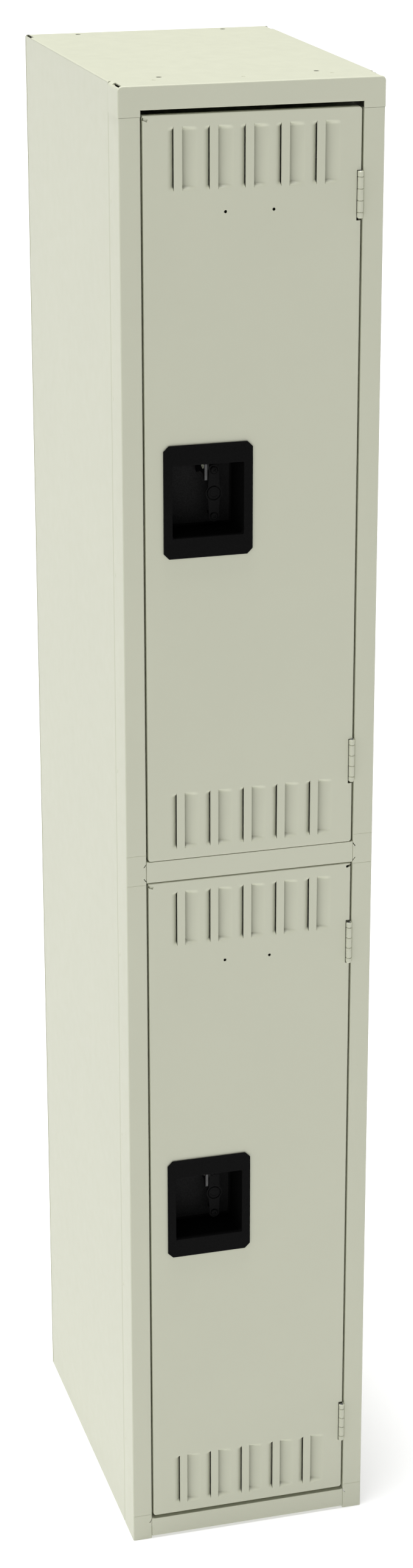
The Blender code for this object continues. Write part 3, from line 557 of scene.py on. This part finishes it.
def make_upright(side, sign):
    """Channel with rounded folds, and faint seams where the rails' welded tabs end."""
    outer, inner = LEFT + LAP, INNER
    path = fillet([(outer, FRAME_BACK), (outer, FRONT), (inner, FRONT), (inner, FRAME_BACK)], FRAME_BEND)
    if sign > 0:
        path = [(-x, y) for x, y in reversed(path)]
    seams = (SILL_TAB, *MID_TABS)
    rise = sorted({0.0, UPRIGHT_TOP - GAP}.union(*({z - SEAM, z, z + SEAM} for z in seams)))

    def place(u, z):
        x, y = path[u]
        dip = SEAM if z in seams and y < FRONT + FRAME_BEND else 0.0
        return (x, y + dip, z)

    bm = bmesh.new()
    add_grid(bm, range(len(path)), rise, place)
    upright = skin(f"{side}_upright", bm, FRAME_SHEET, PAINT, "cabinet", f"frame_{side}_upright")
    for z, tilt in ((RAIL_HIGH, SLIT_TILT), (SILL_HIGH, SLIT_TILT), (RAIL_LOW, pi - SLIT_TILT)):
        cut(upright, slit(-sign * (inner + GAP), z, -sign * tilt))


def make_header():
    """Front face, cheeks and top flange with rounded corners, slotted where the corners fold."""
    r, lip_r = HEADER_CORNER, LIP_BEND
    rings = fold_rings(r, FRAME_BEND, (HEADER_SLOT_START, SLOT_REACH, FRAME_BACK - FRONT))
    count = len(rings)
    xs = (LEFT + r, INNER, -INNER, RIGHT - r)
    zs = (UPRIGHT_TOP, OPENING_TOP, OPENING_TOP + lip_r, HEIGHT - r)
    bm = bmesh.new()
    add_grid(bm, xs, zs, lambda x, z: (x, FRONT, z), lambda x, z: abs(x) > -INNER or z > zs[2])
    add_grid(bm, range(count)[::-1], zs, lambda i, z: (xs[0] - rings[i][0], FRONT + rings[i][1], z))
    add_grid(bm, range(count), zs, lambda i, z: (xs[-1] + rings[i][0], FRONT + rings[i][1], z))
    add_grid(bm, xs, range(count), lambda x, i: (x, FRONT + rings[i][1], zs[-1] + rings[i][0]))
    slotted = (count - 3, count - 2)
    for x, first, turns in ((xs[0], 90, (90, 90 + SLOT_TURN)), (xs[-1], 0, (90 - SLOT_TURN, 90))):
        add_corner(bm, x, zs[-1], first, rings,
                   keep=lambda turn, i: not (between(turn, turns) and between(i, slotted)))
    lip = fillet([(FRONT + RETURN_DEPTH, OPENING_TOP), (FRONT, OPENING_TOP), (FRONT, zs[3])], lip_r)[:-1]
    add_grid(bm, range(len(lip))[::-1], (INNER, -INNER), lambda i, x: (x, *lip[i]))
    header = skin("header", bm, FRAME_SHEET, PAINT, "cabinet", "frame_header")
    dimples = bmesh.new()
    for x in TOP_RIVETS:
        add_turned(dimples, DIMPLE, (x, FRONT + TOP_RIVET_DEPTH, HEIGHT), "z", 20)
    cut(header, dimples)


def make_rail(name, node, low, high):
    """Shallow channel between the uprights, folded sharply so that the doors shut close to it."""
    path = [(FRONT + RETURN_DEPTH, high), (FRONT, high), (FRONT, low), (FRONT + RETURN_DEPTH, low)]
    bm = bmesh.new()
    add_grid(bm, range(len(path)), (INNER + GAP / 3, -INNER - GAP / 3), lambda i, x: (x, *path[i]))
    settle(soften(skin(name, bm, FRAME_SHEET, PAINT, "cabinet", node), RAIL_EDGE, 3))


def make_side_panel(side, sign):
    """Side sheet, stepped in behind the upright and flanged at the rear."""
    outside, rear = LEFT + SIDE_INSET + GAP, BACK - BODY_SHEET - GAP
    inside = LEFT + LAP + FRAME_SHEET + GAP
    step = FRAME_BACK + 2 * GAP
    points = [(outside + REAR_FLANGE, rear), (outside, rear), (outside, step + JOGGLE), (inside, step),
              (inside, FRONT + SIDE_REACH)]
    path = fillet(points, PANEL_BEND, 3)
    if sign > 0:
        path = [(-x, y) for x, y in reversed(path)]
    rise = (0.0, HEIGHT - TOP_DROP - PANEL_BEND - GAP / 2)
    bm = bmesh.new()
    add_grid(bm, range(len(path)), rise, lambda i, z: (*path[i], z))
    skin(f"{side}_side", bm, BODY_SHEET, PAINT, "cabinet", f"{side}_side_panel")


def make_top():
    """Top sheet, rolled over at its sides to meet the side panels, with four fixing holes."""
    edge, top, r = LEFT + SIDE_INSET + GAP, HEIGHT - TOP_DROP, PANEL_BEND
    rear = BACK - BODY_SHEET - 2 * GAP
    turns = [pi / 2 * step / BEND_STEPS for step in range(BEND_STEPS + 1)]
    fold = [(edge + r - r * cos(turn), top - r + r * sin(turn)) for turn in turns]
    fold.append((edge + ROLL_LAND, top))
    across = fold + [(-x, z) for x, z in reversed(fold)]
    rows = [(FRAME_BACK + TOP_SEAM, 0), (rear - SLOT_REACH, 0), (rear - SLOT_START, 0)]
    rows += [(rear - r + r * sin(turn), r - r * cos(turn)) for turn in turns] + [(rear, TOP_REAR_FLANGE)]

    def kept(i, j):
        edges = not between(i, (len(fold) - 1, len(fold)))
        rolled = not between(i, (len(fold) - 2, len(fold) + 1))
        return not (edges and between(j, (1, 2)) or rolled and j > 3)

    bm = bmesh.new()
    add_grid(bm, range(len(across)), range(len(rows)),
             lambda i, j: (across[i][0], rows[j][0], across[i][1] - rows[j][1]), kept)
    sheet = skin("top_sheet", bm, BODY_SHEET, PAINT, "cabinet", "top_panel")
    holes = bmesh.new()
    for x in (-TOP_HOLES_X, TOP_HOLES_X):
        for depth in TOP_HOLES_DEPTH:
            hole = rod(TOP_HOLE_RADIUS, -CUT_REACH, CUT_REACH)
            add_turned(holes, hole, (x, FRONT + depth, HEIGHT), "z", 28)
    cut(sheet, holes)


def make_body():
    """The cabinet's outside."""
    for side, sign in (("left", -1), ("right", 1)):
        make_upright(side, sign)
        make_side_panel(side, sign)
    make_header()
    make_rail("mid_rail", "frame_mid_rail", RAIL_LOW - RAIL_SINK, RAIL_HIGH + RAIL_RISE)
    make_rail("sill", "frame_sill", SILL_LOW, SILL_HIGH)
    make_top()


def dome(radius, proud):
    """Profile of a low rivet head standing on a surface at height 0."""
    shape = ((0.93, 0.55), (0.72, 0.88), (0.4, 1.0), (0, 1.03))
    return ([(0, -RIVET_SINK), (radius, -RIVET_SINK), (radius, 0)]
            + [(radius * across, proud * up) for across, up in shape])


def make_rivets():
    """A row of low rivets down each upright's side."""
    for side, sign, axis in (("left", -1, "-x"), ("right", 1, "x")):
        bm = bmesh.new()
        for z in SIDE_RIVETS:
            spot = (sign * (RIGHT - LAP), FRONT + SIDE_RIVET_DEPTH, z)
            add_turned(bm, dome(RIVET_RADIUS, RIVET_PROUD), spot, axis, 20)
        settle(add_piece(f"{side}_side_rivets", bm, PAINT, "cabinet"))


# ---------------------------------------------------------------- doors
def louvre_lines(low, high):
    """Where the louvre units start across the door, and where its two groups start and end."""
    first = LOUVRE_CENTRE_X - (LOUVRES - 1) / 2 * LOUVRE_PITCH - LOUVRE_STRIP / 2
    strips = [first + unit * LOUVRE_PITCH for unit in range(LOUVRES)]
    low, high = low + LOUVRE_MARGIN, high - LOUVRE_MARGIN
    return strips, [(low, low + LOUVRE_HEIGHT), (high - LOUVRE_HEIGHT, high)]


def smooth(value):
    """Eases 0..1 in and out, and holds it outside."""
    value = min(1.0, max(0.0, value))
    return value * value * (3 - 2 * value)


def louvre_depth(x, z, strips, groups):
    """How far the louvres push the sheet in at a point of the door's face."""
    end = max(smooth(min(z - low, high - z) / LOUVRE_END) for low, high in groups)
    for strip in strips:
        shoulder, slope = strip - LANCE, strip + LOUVRE_STRIP + LANCE
        if shoulder - LOUVRE_SHOULDER < x < shoulder + TINY:
            run = 1 - (shoulder - x) / LOUVRE_SHOULDER
            return SHOULDER_DEPTH * end * min(1.0, run) ** SHOULDER_CURVE
        if slope - TINY < x < slope + LOUVRE_RAMP:
            run = 1 - (x - slope) / LOUVRE_RAMP
            return RAMP_DEPTH * end * min(1.0, run) ** RAMP_CURVE
    return 0.0


def lines(start, end, count):
    """A set of evenly spaced grid lines."""
    return {start + (end - start) * step / count for step in range(count + 1)}


def tidy(values):
    """Sorted grid lines, with those that only rounding tells apart made one."""
    return sorted({round(value, 7) for value in values})


def hinge_notches(tier):
    """The heights between which the door's edge is cut away for its two hinges."""
    reach = 2 * KNUCKLE + NOTCH_CLEARANCE
    longer = (reach + NOTCH_EXTRA, reach) if tier == "upper" else (reach, reach + NOTCH_EXTRA)
    heights = (centre_of(f"{tier}_hinge_{place}_pin").z for place in ("bottom", "top"))
    return [(z - longer[0], z + longer[1]) for z in heights]


def make_door(tier):
    """Louvred face with folded edges, rounded at the foot and slit at its top corners."""
    (x0, _, z0), (x1, back, z1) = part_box(f"{tier}_door_panel")
    strips, groups = louvre_lines(z0, z1)
    cup_low, cup_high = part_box(f"{tier}_handle_cup")
    cut_x = (cup_low.x + CUP_CUT_SIDE, cup_high.x - CUP_CUT_SIDE)
    cut_z = (cup_low.z + CUP_CUT_LOW, cup_high.z - CUP_CUT_HIGH)
    r = DOOR_CORNER
    notches = hinge_notches(tier)
    notch_x = centre_of(f"{tier}_hinge_top_pin").x - BARREL_RADIUS - NOTCH_CLEARANCE

    xs = {x0 + r, x1 - r, *cut_x}
    for strip in strips:
        shoulder, slope = strip - LANCE, strip + LOUVRE_STRIP + LANCE
        start = shoulder - LOUVRE_SHOULDER
        xs |= lines(start, shoulder, SHOULDER_STEPS) | {strip, strip + LOUVRE_STRIP}
        xs |= lines(slope, slope + LOUVRE_RAMP, RAMP_STEPS) | {start - LOUVRE_BORDER}
    zs = {z0 + r, z1 - r, *cut_z}
    for low, high in groups:
        zs |= lines(low, low + LOUVRE_END, END_STEPS) | lines(high - LOUVRE_END, high, END_STEPS)
        zs |= {low - LOUVRE_BORDER, high + LOUVRE_BORDER}
    xs, zs = tidy(xs), tidy(zs)

    def kept(x, z):
        cup = between(x, cut_x) and between(z, cut_z)
        lanced = any(between(z, span) for span in groups) and any(
            between(x, (edge, edge + LANCE))
            for strip in strips for edge in (strip - LANCE, strip + LOUVRE_STRIP))
        return not (cup or lanced)

    rings = fold_rings(r, DOOR_BEND, (TOP_FLANGE, back - FRONT))
    count = len(rings)

    def shallow(_, i):
        return i < count - 2

    bm = bmesh.new()
    add_grid(bm, xs, zs, lambda x, z: (x, FRONT + louvre_depth(x, z, strips, groups), z), kept)
    add_grid(bm, range(count)[::-1], zs, lambda i, z: (xs[0] - rings[i][0], FRONT + rings[i][1], z))
    add_grid(bm, range(count), zs, lambda i, z: (xs[-1] + rings[i][0], FRONT + rings[i][1], z))
    add_grid(bm, xs, range(count), lambda x, i: (x, FRONT + rings[i][1], zs[-1] + rings[i][0]), shallow)
    add_grid(bm, xs, range(count)[::-1], lambda x, i: (x, FRONT + rings[i][1], zs[0] - rings[i][0]))
    add_corner(bm, xs[0], zs[0], 180, rings)
    add_corner(bm, xs[-1], zs[0], 270, rings)
    add_corner(bm, xs[0], zs[-1], 90, rings, square=True, keep=shallow)
    add_corner(bm, xs[-1], zs[-1], 0, rings, square=tier == "lower", keep=shallow)
    door = skin(f"{tier}_door_skin", bm, DOOR_SHEET, PAINT, f"{tier}_door", f"{tier}_door_panel")

    cutters = bmesh.new()
    for step in (-0.5, 0.5):
        centre = (LOUVRE_CENTRE_X + step * PLATE_HOLE_SPACING, FRONT, z1 - PLATE_HOLE_DROP)
        add_turned(cutters, rod(PLATE_HOLE_RADIUS, -CUT_REACH, CUT_REACH), centre, "y", 20)
    for low, high in notches:
        add_block(cutters, (notch_x, x1 + NOTCH_OVERRUN), (FRONT - NOTCH_OVERRUN, FRONT + NOTCH_DEPTH),
                  (low, high))
    cut(door, cutters)
    tilt = pi / 2 - DOOR_SLIT_TILT
    cut(door, slit(x0 - DOOR_SLIT_OUTSIDE, z1 - DOOR_SLIT_DROP, -tilt, DOOR_SLIT))
    if tier == "lower":
        cut(door, slit(x1 + DOOR_SLIT_OUTSIDE, z1 - SECOND_SLIT_DROP, tilt, DOOR_SLIT))


# ---------------------------------------------------------------- hinges
def knuckle_profile(start, end, chamfers):
    """Profile of one rolled knuckle, with the pin's bore through it."""
    start, end = start + GAP / 3, end - GAP / 3
    wide = BARREL_RADIUS
    return [(BORE_RADIUS, start), (wide - chamfers[0], start), (wide, start + chamfers[0]),
            (wide, end - chamfers[1]), (wide - chamfers[1], end), (BORE_RADIUS, end), (BORE_RADIUS, start)]


def make_hinge(tier, place):
    """Five rolled knuckles on a pin, on leaves welded to the door's and the upright's side."""
    centre = centre_of(f"{tier}_hinge_{place}_pin")
    half, reach = KNUCKLE / 2, 2 * KNUCKLE
    spans = {"frame": ((-reach, -3 * half), (-half, half), (3 * half, reach)),
             "door": ((-3 * half, -half), (half, 3 * half))}
    leaves = {"frame": ("cabinet", FRAME_LEAF), "door": (f"{tier}_door", DOOR_LEAF)}
    for kind, (body, leaf) in leaves.items():
        node = f"{tier}_hinge_{place}_{kind}_leaf"
        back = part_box(node)[1].y
        bm = bmesh.new()
        for span in spans[kind]:
            chamfers = [BARREL_CHAMFER if abs(edge) == reach else KNUCKLE_CHAMFER for edge in span]
            add_turned(bm, knuckle_profile(*span, chamfers), centre)
        leaf_x = [centre.x + edge for edge in leaf]
        add_block(bm, leaf_x, (centre.y + LEAF_START, back), (centre.z - reach + GAP, centre.z + reach - GAP))
        for start, end in spans[kind]:
            tongue = [centre.y + edge for edge in TONGUE]
            add_block(bm, leaf_x, tongue, (centre.z + start + GAP, centre.z + end - GAP))
        settle(add_piece(node + "_rolled", bm, PAINT, body, node))
    bm = bmesh.new()
    add_turned(bm, rod(PIN_RADIUS, -reach, reach, PIN_CHAMFER), centre, "z", 24)
    settle(add_piece(f"{tier}_hinge_{place}_rod", bm, ZINC, "cabinet", f"{tier}_hinge_{place}_pin"))


# ---------------------------------------------------------------- handle cups
def rounded_loop(x, z, radius, steps=5):
    """Corners of a rounded rectangle, anticlockwise seen from the front."""
    (x0, x1), (z0, z1) = x, z
    return (arc((x1 - radius, z0 + radius), radius, 270, 360, steps)
            + arc((x1 - radius, z1 - radius), radius, 0, 90, steps)
            + arc((x0 + radius, z1 - radius), radius, 90, 180, steps)
            + arc((x0 + radius, z0 + radius), radius, 180, 270, steps))


def boss_outline(screws):
    """Round the two screw bosses and the lock boss, drawn from the lock's centre."""
    low, high = screws
    swing = 20
    return (arc((0, low), SCREW_BOSS_RADIUS, 180 - swing, 360 + swing, 14)
            + arc((0, 0), LOCK_BOSS_RADIUS, -45, 45, 8)
            + arc((0, high), SCREW_BOSS_RADIUS, -swing, 180 + swing, 14)
            + arc((0, 0), LOCK_BOSS_RADIUS, 135, 225, 8))


def cup_floor(tier):
    """Height of the floor of the cup's opening."""
    low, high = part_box(f"{tier}_handle_cup")
    return (low.z + high.z) / 2 - CUP_OPENING / 2


def cup_walls(tier):
    """The x of the cup's inner walls."""
    x = centre_of(f"{tier}_handle_cup").x
    return x - CUP_WIDTH / 2, x + CUP_WIDTH / 2


def make_bezel(tier):
    """Plate with cut corners round the cup's mouth, standing on the door's face."""
    low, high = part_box(f"{tier}_handle_cup")
    centre = (low + high) / 2
    half_w, half_h = (high.x - low.x) / 2, (high.z - low.z) / 2
    quarter = [(half_w, half_h - BEZEL_CORNER), (half_w - BEZEL_CORNER, half_h)]
    octagon = (quarter + [(-x, z) for x, z in reversed(quarter)]
               + [(-x, -z) for x, z in quarter] + [(x, -z) for x, z in reversed(quarter)])
    half_mouth, half_opening = CUP_WIDTH / 2, CUP_OPENING / 2
    mouth = rounded_loop((-half_mouth, half_mouth), (-half_opening, half_opening), MOUTH_CORNER, 3)
    thick = FRONT - low.y - GAP
    bm = plate_mesh([octagon, mouth], thick, "xz", (centre.x, FRONT - GAP - thick / 2, centre.z))
    settle(soften(add_piece(f"{tier}_cup_bezel", bm, PLASTIC, f"{tier}_door"), BEZEL_EDGE, 3))


def make_tub(tier):
    """The cup's moulded tub, rounded at its back and slotted for the trigger's arm."""
    floor, (left, right) = cup_floor(tier), cup_walls(tier)
    back = FRONT + CUP_DEPTH
    turns = [radians(22.5 * step) for step in range(5)]
    rings = [(0.0, FRONT - GAP)]
    rings += [(CUP_CORNER * (1 - cos(a)), back - CUP_CORNER + CUP_CORNER * sin(a)) for a in turns]
    bm = bmesh.new()
    loops = []
    for inset, y in rings:
        sides = (left + inset, right - inset), (floor + inset, floor + CUP_HEIGHT - inset)
        loop = rounded_loop(*sides, TUB_CORNER - inset * TUB_TAPER)
        loops.append([bm.verts.new((x, y, z)) for x, z in loop])
    for near, far in zip(loops, loops[1:]):
        for i in range(len(near)):
            bm.faces.new([near[i], far[i], far[i - 1], near[i - 1]])
    bm.faces.new(loops[-1])
    tub = add_piece(f"{tier}_cup_tub", bm, PLASTIC, f"{tier}_door", f"{tier}_handle_cup")
    solid = tub.modifiers.new("thickness", 'SOLIDIFY')
    solid.thickness = CUP_WALL
    solid.offset = -1
    settle(tub)
    slot = bmesh.new()
    add_block(slot, (left - 2 * CUP_WALL, left + 2 * CUP_WALL),
              (FRONT + ARM_DEPTH[0] - ARM_CLEARANCE, FRONT + ARM_DEPTH[1] + ARM_CLEARANCE),
              (floor + ARM_RISE[0] - ARM_CLEARANCE, floor + ARM_RISE[1] + LIFT_TRAVEL + ARM_CLEARANCE))
    cut(tub, slot)


def make_lock_mount(tier):
    """Raised mount in the cup for a built-in lock, on posts, with a blank where the lock would go."""
    body = f"{tier}_door"
    floor, (left, right) = cup_floor(tier), cup_walls(tier)
    back = FRONT + CUP_DEPTH
    plug_low, plug_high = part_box(f"{tier}_lock_hole_plug")
    plug = (plug_low + plug_high) / 2
    face = Vector((plug.x, plug_low.y, plug.z))
    bore = (plug_high.x - plug_low.x) / 2 + RING_GAP / 2
    screws = [centre_of(f"{tier}_cup_screw_{place}") for place in ("lower", "upper")]

    sides = [(left + CUP_CORNER, right - CUP_CORNER), (floor + CUP_CORNER, floor + CUP_HEIGHT - CUP_CORNER)]
    loop = rounded_loop(*sides, BACK_PLATE_CORNER, 3)
    panel = plate_mesh([loop], BACK_PLATE, "xz", (0, back - BACK_PLATE / 2, 0))
    # Painted light: the back plate takes the lightest copy of the black plastic, against the cup's shade.
    settle(add_piece(f"{tier}_cup_back", panel, MOST_LIGHTENED_PLASTIC, body))

    outline = boss_outline([screw.z - plug.z for screw in screws])
    wells = [arc((0, screw.z - plug.z), WELL_RADIUS, 0, 350, 35) for screw in screws]
    mount = plate_mesh([outline, round_hole(bore), *wells], BOSS_PLATE, "xz",
                       (plug.x, plug_low.y + BOSS_PLATE / 2, plug.z))
    # Painted light: the mount takes a lighter copy of the black plastic, against the cup's shade.
    settle(soften(add_piece(f"{tier}_lock_mount", mount, LIGHTENED_PLASTIC, body), width=0.0003))

    posts = bmesh.new()
    post = rod(POST_RADIUS, plug_low.y - back - POST_SINK, -BOSS_PLATE)
    for spot in (*screws, plug):
        add_turned(posts, post, (spot.x, plug_low.y, spot.z), "y", 24)
    settle(add_piece(f"{tier}_lock_posts", posts, PLASTIC, body))

    disc = bmesh.new()
    wide = bore - RING_GAP
    profile = [(0, -0.005), (wide, -0.005), (wide, -0.0006), (wide - 0.0006, 0), (wide - 0.0026, 0),
               (wide - 0.0032, -0.0004), (0, -0.0004)]
    add_turned(disc, profile, face, "y", 48)
    # Painted light: the blank takes a lighter copy of the black plastic, against the cup's shade.
    settle(add_piece(f"{tier}_lock_blank", disc, LIGHTENED_PLASTIC, body, f"{tier}_lock_hole_plug"))


def make_screw(tier, place):
    """Pan-head screw with a cross slot, turned 45 degrees."""
    node = f"{tier}_cup_screw_{place}"
    low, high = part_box(node)
    spot = (low + high) / 2
    wide = (high.x - low.x) / 2
    profile = [(0, -0.0018), (wide, -0.0018), (wide, -0.0009), (wide * 0.86, -0.0003), (wide * 0.5, 0),
               (0, 0.0)]
    head = bmesh.new()
    add_turned(head, profile, (spot.x, low.y, spot.z), "y", 28)
    # Painted light: the screw head takes a lighter copy of the black plastic, against the cup's shade.
    screw = add_piece(f"{tier}_pan_screw_{place}", head, LIGHTENED_PLASTIC, f"{tier}_door", node)
    reach, half = 0.0021, 0.0004
    for turn in (pi / 4, 3 * pi / 4):
        groove = bmesh.new()
        add_block(groove, (spot.x - reach, spot.x + reach), (low.y - 0.0006, low.y + 0.0011),
                  (spot.z - half, spot.z + half), Matrix.Rotation(turn, 4, 'Y'))
        cut(screw, groove)


def make_cup(tier):
    """Black handle cup with its bezel, lock mount and screws."""
    make_bezel(tier)
    make_tub(tier)
    make_lock_mount(tier)
    for place in ("lower", "upper"):
        make_screw(tier, place)


def make_trigger(tier):
    """Finger lift with the padlock eye, and the arm that reaches the latch bar."""
    body = f"{tier}_latch"
    low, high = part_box(f"{tier}_lift_trigger")
    floor = cup_floor(tier)
    near, far = low.y - FRONT, high.y - FRONT
    thick = 0.0032
    tip, tip_z = 0.0019, 0.0651
    belly, curve = 0.0700, 0.0036
    heel, heel_z = 0.0030, 0.0675
    outline = ([(near, high.z - floor), (near, tip_z)]
               + arc((near + tip, tip_z), tip, 180, 330, 8)[1:]
               + arc((near + 2 * tip + 0.0052, belly - curve), curve, 150, 90, 6)
               + [(far - 0.0130, belly)]
               + arc((far - heel, heel_z), heel, 225, 360, 8) + [(far, high.z - floor)])
    points = [(y - EYE_DEPTH, z - EYE_HEIGHT) for y, z in outline]
    eye = (high.x - thick / 2, FRONT + EYE_DEPTH, floor + EYE_HEIGHT)
    bm = plate_mesh([points, round_hole(EYE_RADIUS)], thick, "yz", eye)
    trigger = add_piece(f"{tier}_finger_lift", bm, SHADED_STEEL, body, f"{tier}_lift_trigger")
    settle(soften(trigger, width=0.0007, segments=3))

    # Painted light and shade: forward-facing faces at the trigger's front take the grey lit copy; all other
    # faces stay near-black as painted shade.
    trigger.data.materials.append(LIT_TRIGGER_STEEL[0])
    front_reach, front_top, facing = low.y + 0.0042, floor + 0.086, -0.25
    for polygon in trigger.data.polygons:
        spot = polygon.center
        if spot.y < front_reach and spot.z < front_top and polygon.normal.y < facing:
            polygon.material_index = 1

    wide, deep = EYE_RADIUS - 0.0001, thick / 2 + 0.0002
    inner = wide - EYELET_WALL
    eyelet = bmesh.new()
    profile = [(inner, -deep), (wide, -deep), (wide, deep), (inner, deep), (inner, -deep)]
    add_turned(eyelet, profile, eye, "x", 40)
    settle(add_piece(f"{tier}_lift_eyelet", eyelet, PAINT, body))

    arm = bmesh.new()
    add_block(arm, (low.x, high.x - thick / 2), [FRONT + depth for depth in ARM_DEPTH],
              [floor + rise for rise in ARM_RISE])
    settle(soften(add_piece(f"{tier}_lift_arm", arm, ZINC, body), width=0.0005))


def make_staple(tier):
    """Fixed eye beside the trigger, which a padlock's shackle locks it to."""
    low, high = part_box(f"{tier}_padlock_staple")
    floor = cup_floor(tier)
    centre = (low + high) / 2
    half, top = (high.y - low.y) / 2, high.z - floor - EYE_HEIGHT
    points = arc((0, 0), half, 180, 360, 24) + [(half, top), (-half, top)]
    bm = plate_mesh([points, round_hole(EYE_RADIUS)], high.x - low.x, "yz",
                    (centre.x, FRONT + EYE_DEPTH, floor + EYE_HEIGHT))
    # Painted shade: the painted steel staple is drawn near-black, as it sits in the cup's shade beside the
    # trigger.
    staple = add_piece(f"{tier}_lock_eye", bm, SHADED_STEEL, f"{tier}_door", f"{tier}_padlock_staple")
    settle(soften(staple, width=0.0004))


# ---------------------------------------------------------------- hooks
def make_ceiling_hook(tier):
    """Double-prong hook, the same on both sides, hung under a compartment's ceiling."""
    node = f"{tier}_ceiling_hook"
    low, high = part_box(node)
    foot, edge, stem, drop, rise = 0.0180, 0.0025, 0.0020, 0.0300, 0.0080
    inner, outer, root = 0.0090, 0.0130, 0.0020
    middle = stem + inner
    right = [(foot, 0), (foot, -edge)] + arc((stem + root, -edge - root), root, 90, 180, 4)
    right += arc((middle, -drop), inner, 180, 360, 18)
    right += arc((middle + (inner + outer) / 2, rise - drop), (outer - inner) / 2, 180, 0, 8)
    right += arc((middle, -drop), outer, 360, 270, 12)
    left = [(-x, z) for x, z in reversed(right)]
    bm = plate_mesh([right + left], high.y - low.y, "xz", (0, (low.y + high.y) / 2, high.z))
    settle(soften(add_piece(f"{tier}_coat_hook_double", bm, ZINC, "cabinet", node), HOOK_EDGE, 3))


def make_wall_hook(tier, side, sign):
    """Single-prong hook on a compartment's side."""
    node = f"{tier}_wall_hook_{side}"
    low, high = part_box(node)
    foot, top, bottom, rise = 0.0025, 0.0240, -0.0150, 0.0100
    inner, outer = 0.0080, 0.0120
    middle = foot + inner
    outline = [(0, top), (0, bottom), (middle, -outer)] + arc((middle, 0), outer, 270, 360, 12)[1:]
    outline += arc((middle + (inner + outer) / 2, rise), (outer - inner) / 2, 0, 180, 8)
    outline += arc((middle, 0), inner, 360, 180, 18) + [(foot, top)]
    points = [(-sign * x, z) for x, z in outline]
    wall = high.x if sign > 0 else low.x
    bm = plate_mesh([points], high.y - low.y, "xz", (wall, (low.y + high.y) / 2, low.z - bottom))
    settle(soften(add_piece(f"{tier}_coat_hook_{side}", bm, ZINC, "cabinet", node), HOOK_EDGE, 3))


# ---------------------------------------------------------------- pieces that keep their CAD shape
def finish_node(node, finish, width):
    """Gives a node from the CAD its material and rounds its edges."""
    thing = NODES[node]
    thing.data.materials.clear()
    thing.data.materials.append(finish[0])
    weld = thing.modifiers.new("joined_corners", 'WELD')
    weld.merge_threshold = WELD_REACH
    soften(thing, width)


def finish_kept_nodes():
    for node in ("back_panel", "bottom_panel", "divider_shelf"):
        finish_node(node, PAINT, width=0.0003)
    for tier in TIERS:
        finish_node(f"{tier}_latch_channel", PAINT, width=0.0004)
        finish_node(f"{tier}_latch_bar", ZINC, width=0.0005)
        for place in ("lower", "upper"):
            finish_node(f"{tier}_frame_hook_{place}", ZINC, width=0.0004)
            finish_node(f"{tier}_silencer_{place}", RUBBER, width=0.0005)
            finish_node(f"{tier}_latch_guide_{place}", NYLON, width=0.0005)


# ---------------------------------------------------------------- stage
def make_floor():
    """A wide pale floor just under the locker."""
    size, drop = 60.0, 0.0005
    bm = bmesh.new()
    add_grid(bm, (-size, size), (-size, size), lambda x, y: (x, y, -drop))
    mesh = bpy.data.meshes.new("floor")
    bm.to_mesh(mesh)
    bm.free()
    floor = bpy.data.objects.new("floor", mesh)
    bpy.context.scene.collection.objects.link(floor)
    material, shader, _ = new_material("pale_floor", (0.55, 0.55, 0.55), 0.9)
    shader.inputs["Specular IOR Level"].default_value = 0.1
    shader.inputs["Emission Color"].default_value = (1, 1, 1, 1)
    shader.inputs["Emission Strength"].default_value = 0.47
    mesh.materials.append(material)


def make_light():
    """An even pale room, brighter from the left, and a soft light from straight above."""
    world = bpy.data.worlds.new("room")
    bpy.context.scene.world = world
    world.use_nodes = True
    tree = world.node_tree
    background = tree.nodes["Background"]
    place = tree.nodes.new("ShaderNodeTexCoord")
    split = tree.nodes.new("ShaderNodeSeparateXYZ")
    tree.links.new(place.outputs["Generated"], split.inputs["Vector"])
    side = tree.nodes.new("ShaderNodeMapRange")
    side.inputs["From Min"].default_value = 0.0
    side.inputs["From Max"].default_value = -1.0
    side.inputs["To Min"].default_value = 0.20
    side.inputs["To Max"].default_value = 0.78
    tree.links.new(split.outputs["X"], side.inputs["Value"])
    tree.links.new(side.outputs["Result"], background.inputs["Strength"])
    background.inputs["Color"].default_value = (1, 1, 1, 1)

    lamp = bpy.data.lights.new("overhead", 'SUN')
    lamp.energy = 3.8
    lamp.angle = radians(12)
    sun = bpy.data.objects.new("overhead", lamp)
    sun.rotation_euler = (0, radians(-3), 0)
    bpy.context.scene.collection.objects.link(sun)


def make_camera():
    """The photo's camera, as fitted to the locker's corners."""
    data = bpy.data.cameras.new("camera")
    data.sensor_width = 36
    data.lens = 73.0
    data.clip_end = 200
    camera = bpy.data.objects.new("camera", data)
    camera.location = (-0.99075, -3.58547, 2.31937)
    yaw, pitch, roll = radians(15.58), radians(20.44), radians(-0.08)
    look = Vector((sin(yaw) * cos(pitch), cos(yaw) * cos(pitch), -sin(pitch)))
    turn = look.to_track_quat('-Z', 'Y').to_matrix() @ Matrix.Rotation(roll, 3, 'Z')
    camera.rotation_euler = turn.to_euler()
    bpy.context.scene.collection.objects.link(camera)
    bpy.context.scene.camera = camera


# ---------------------------------------------------------------- the whole scene
make_camera()
make_light()
make_floor()
make_body()
make_rivets()
for tier in TIERS:
    make_door(tier)
    make_cup(tier)
    make_trigger(tier)
    make_staple(tier)
    for place in ("bottom", "top"):
        make_hinge(tier, place)
    make_ceiling_hook(tier)
    make_wall_hook(tier, "left", -1)
    make_wall_hook(tier, "right", 1)
finish_kept_nodes()
bpy.context.scene.view_settings.view_transform = 'Standard'
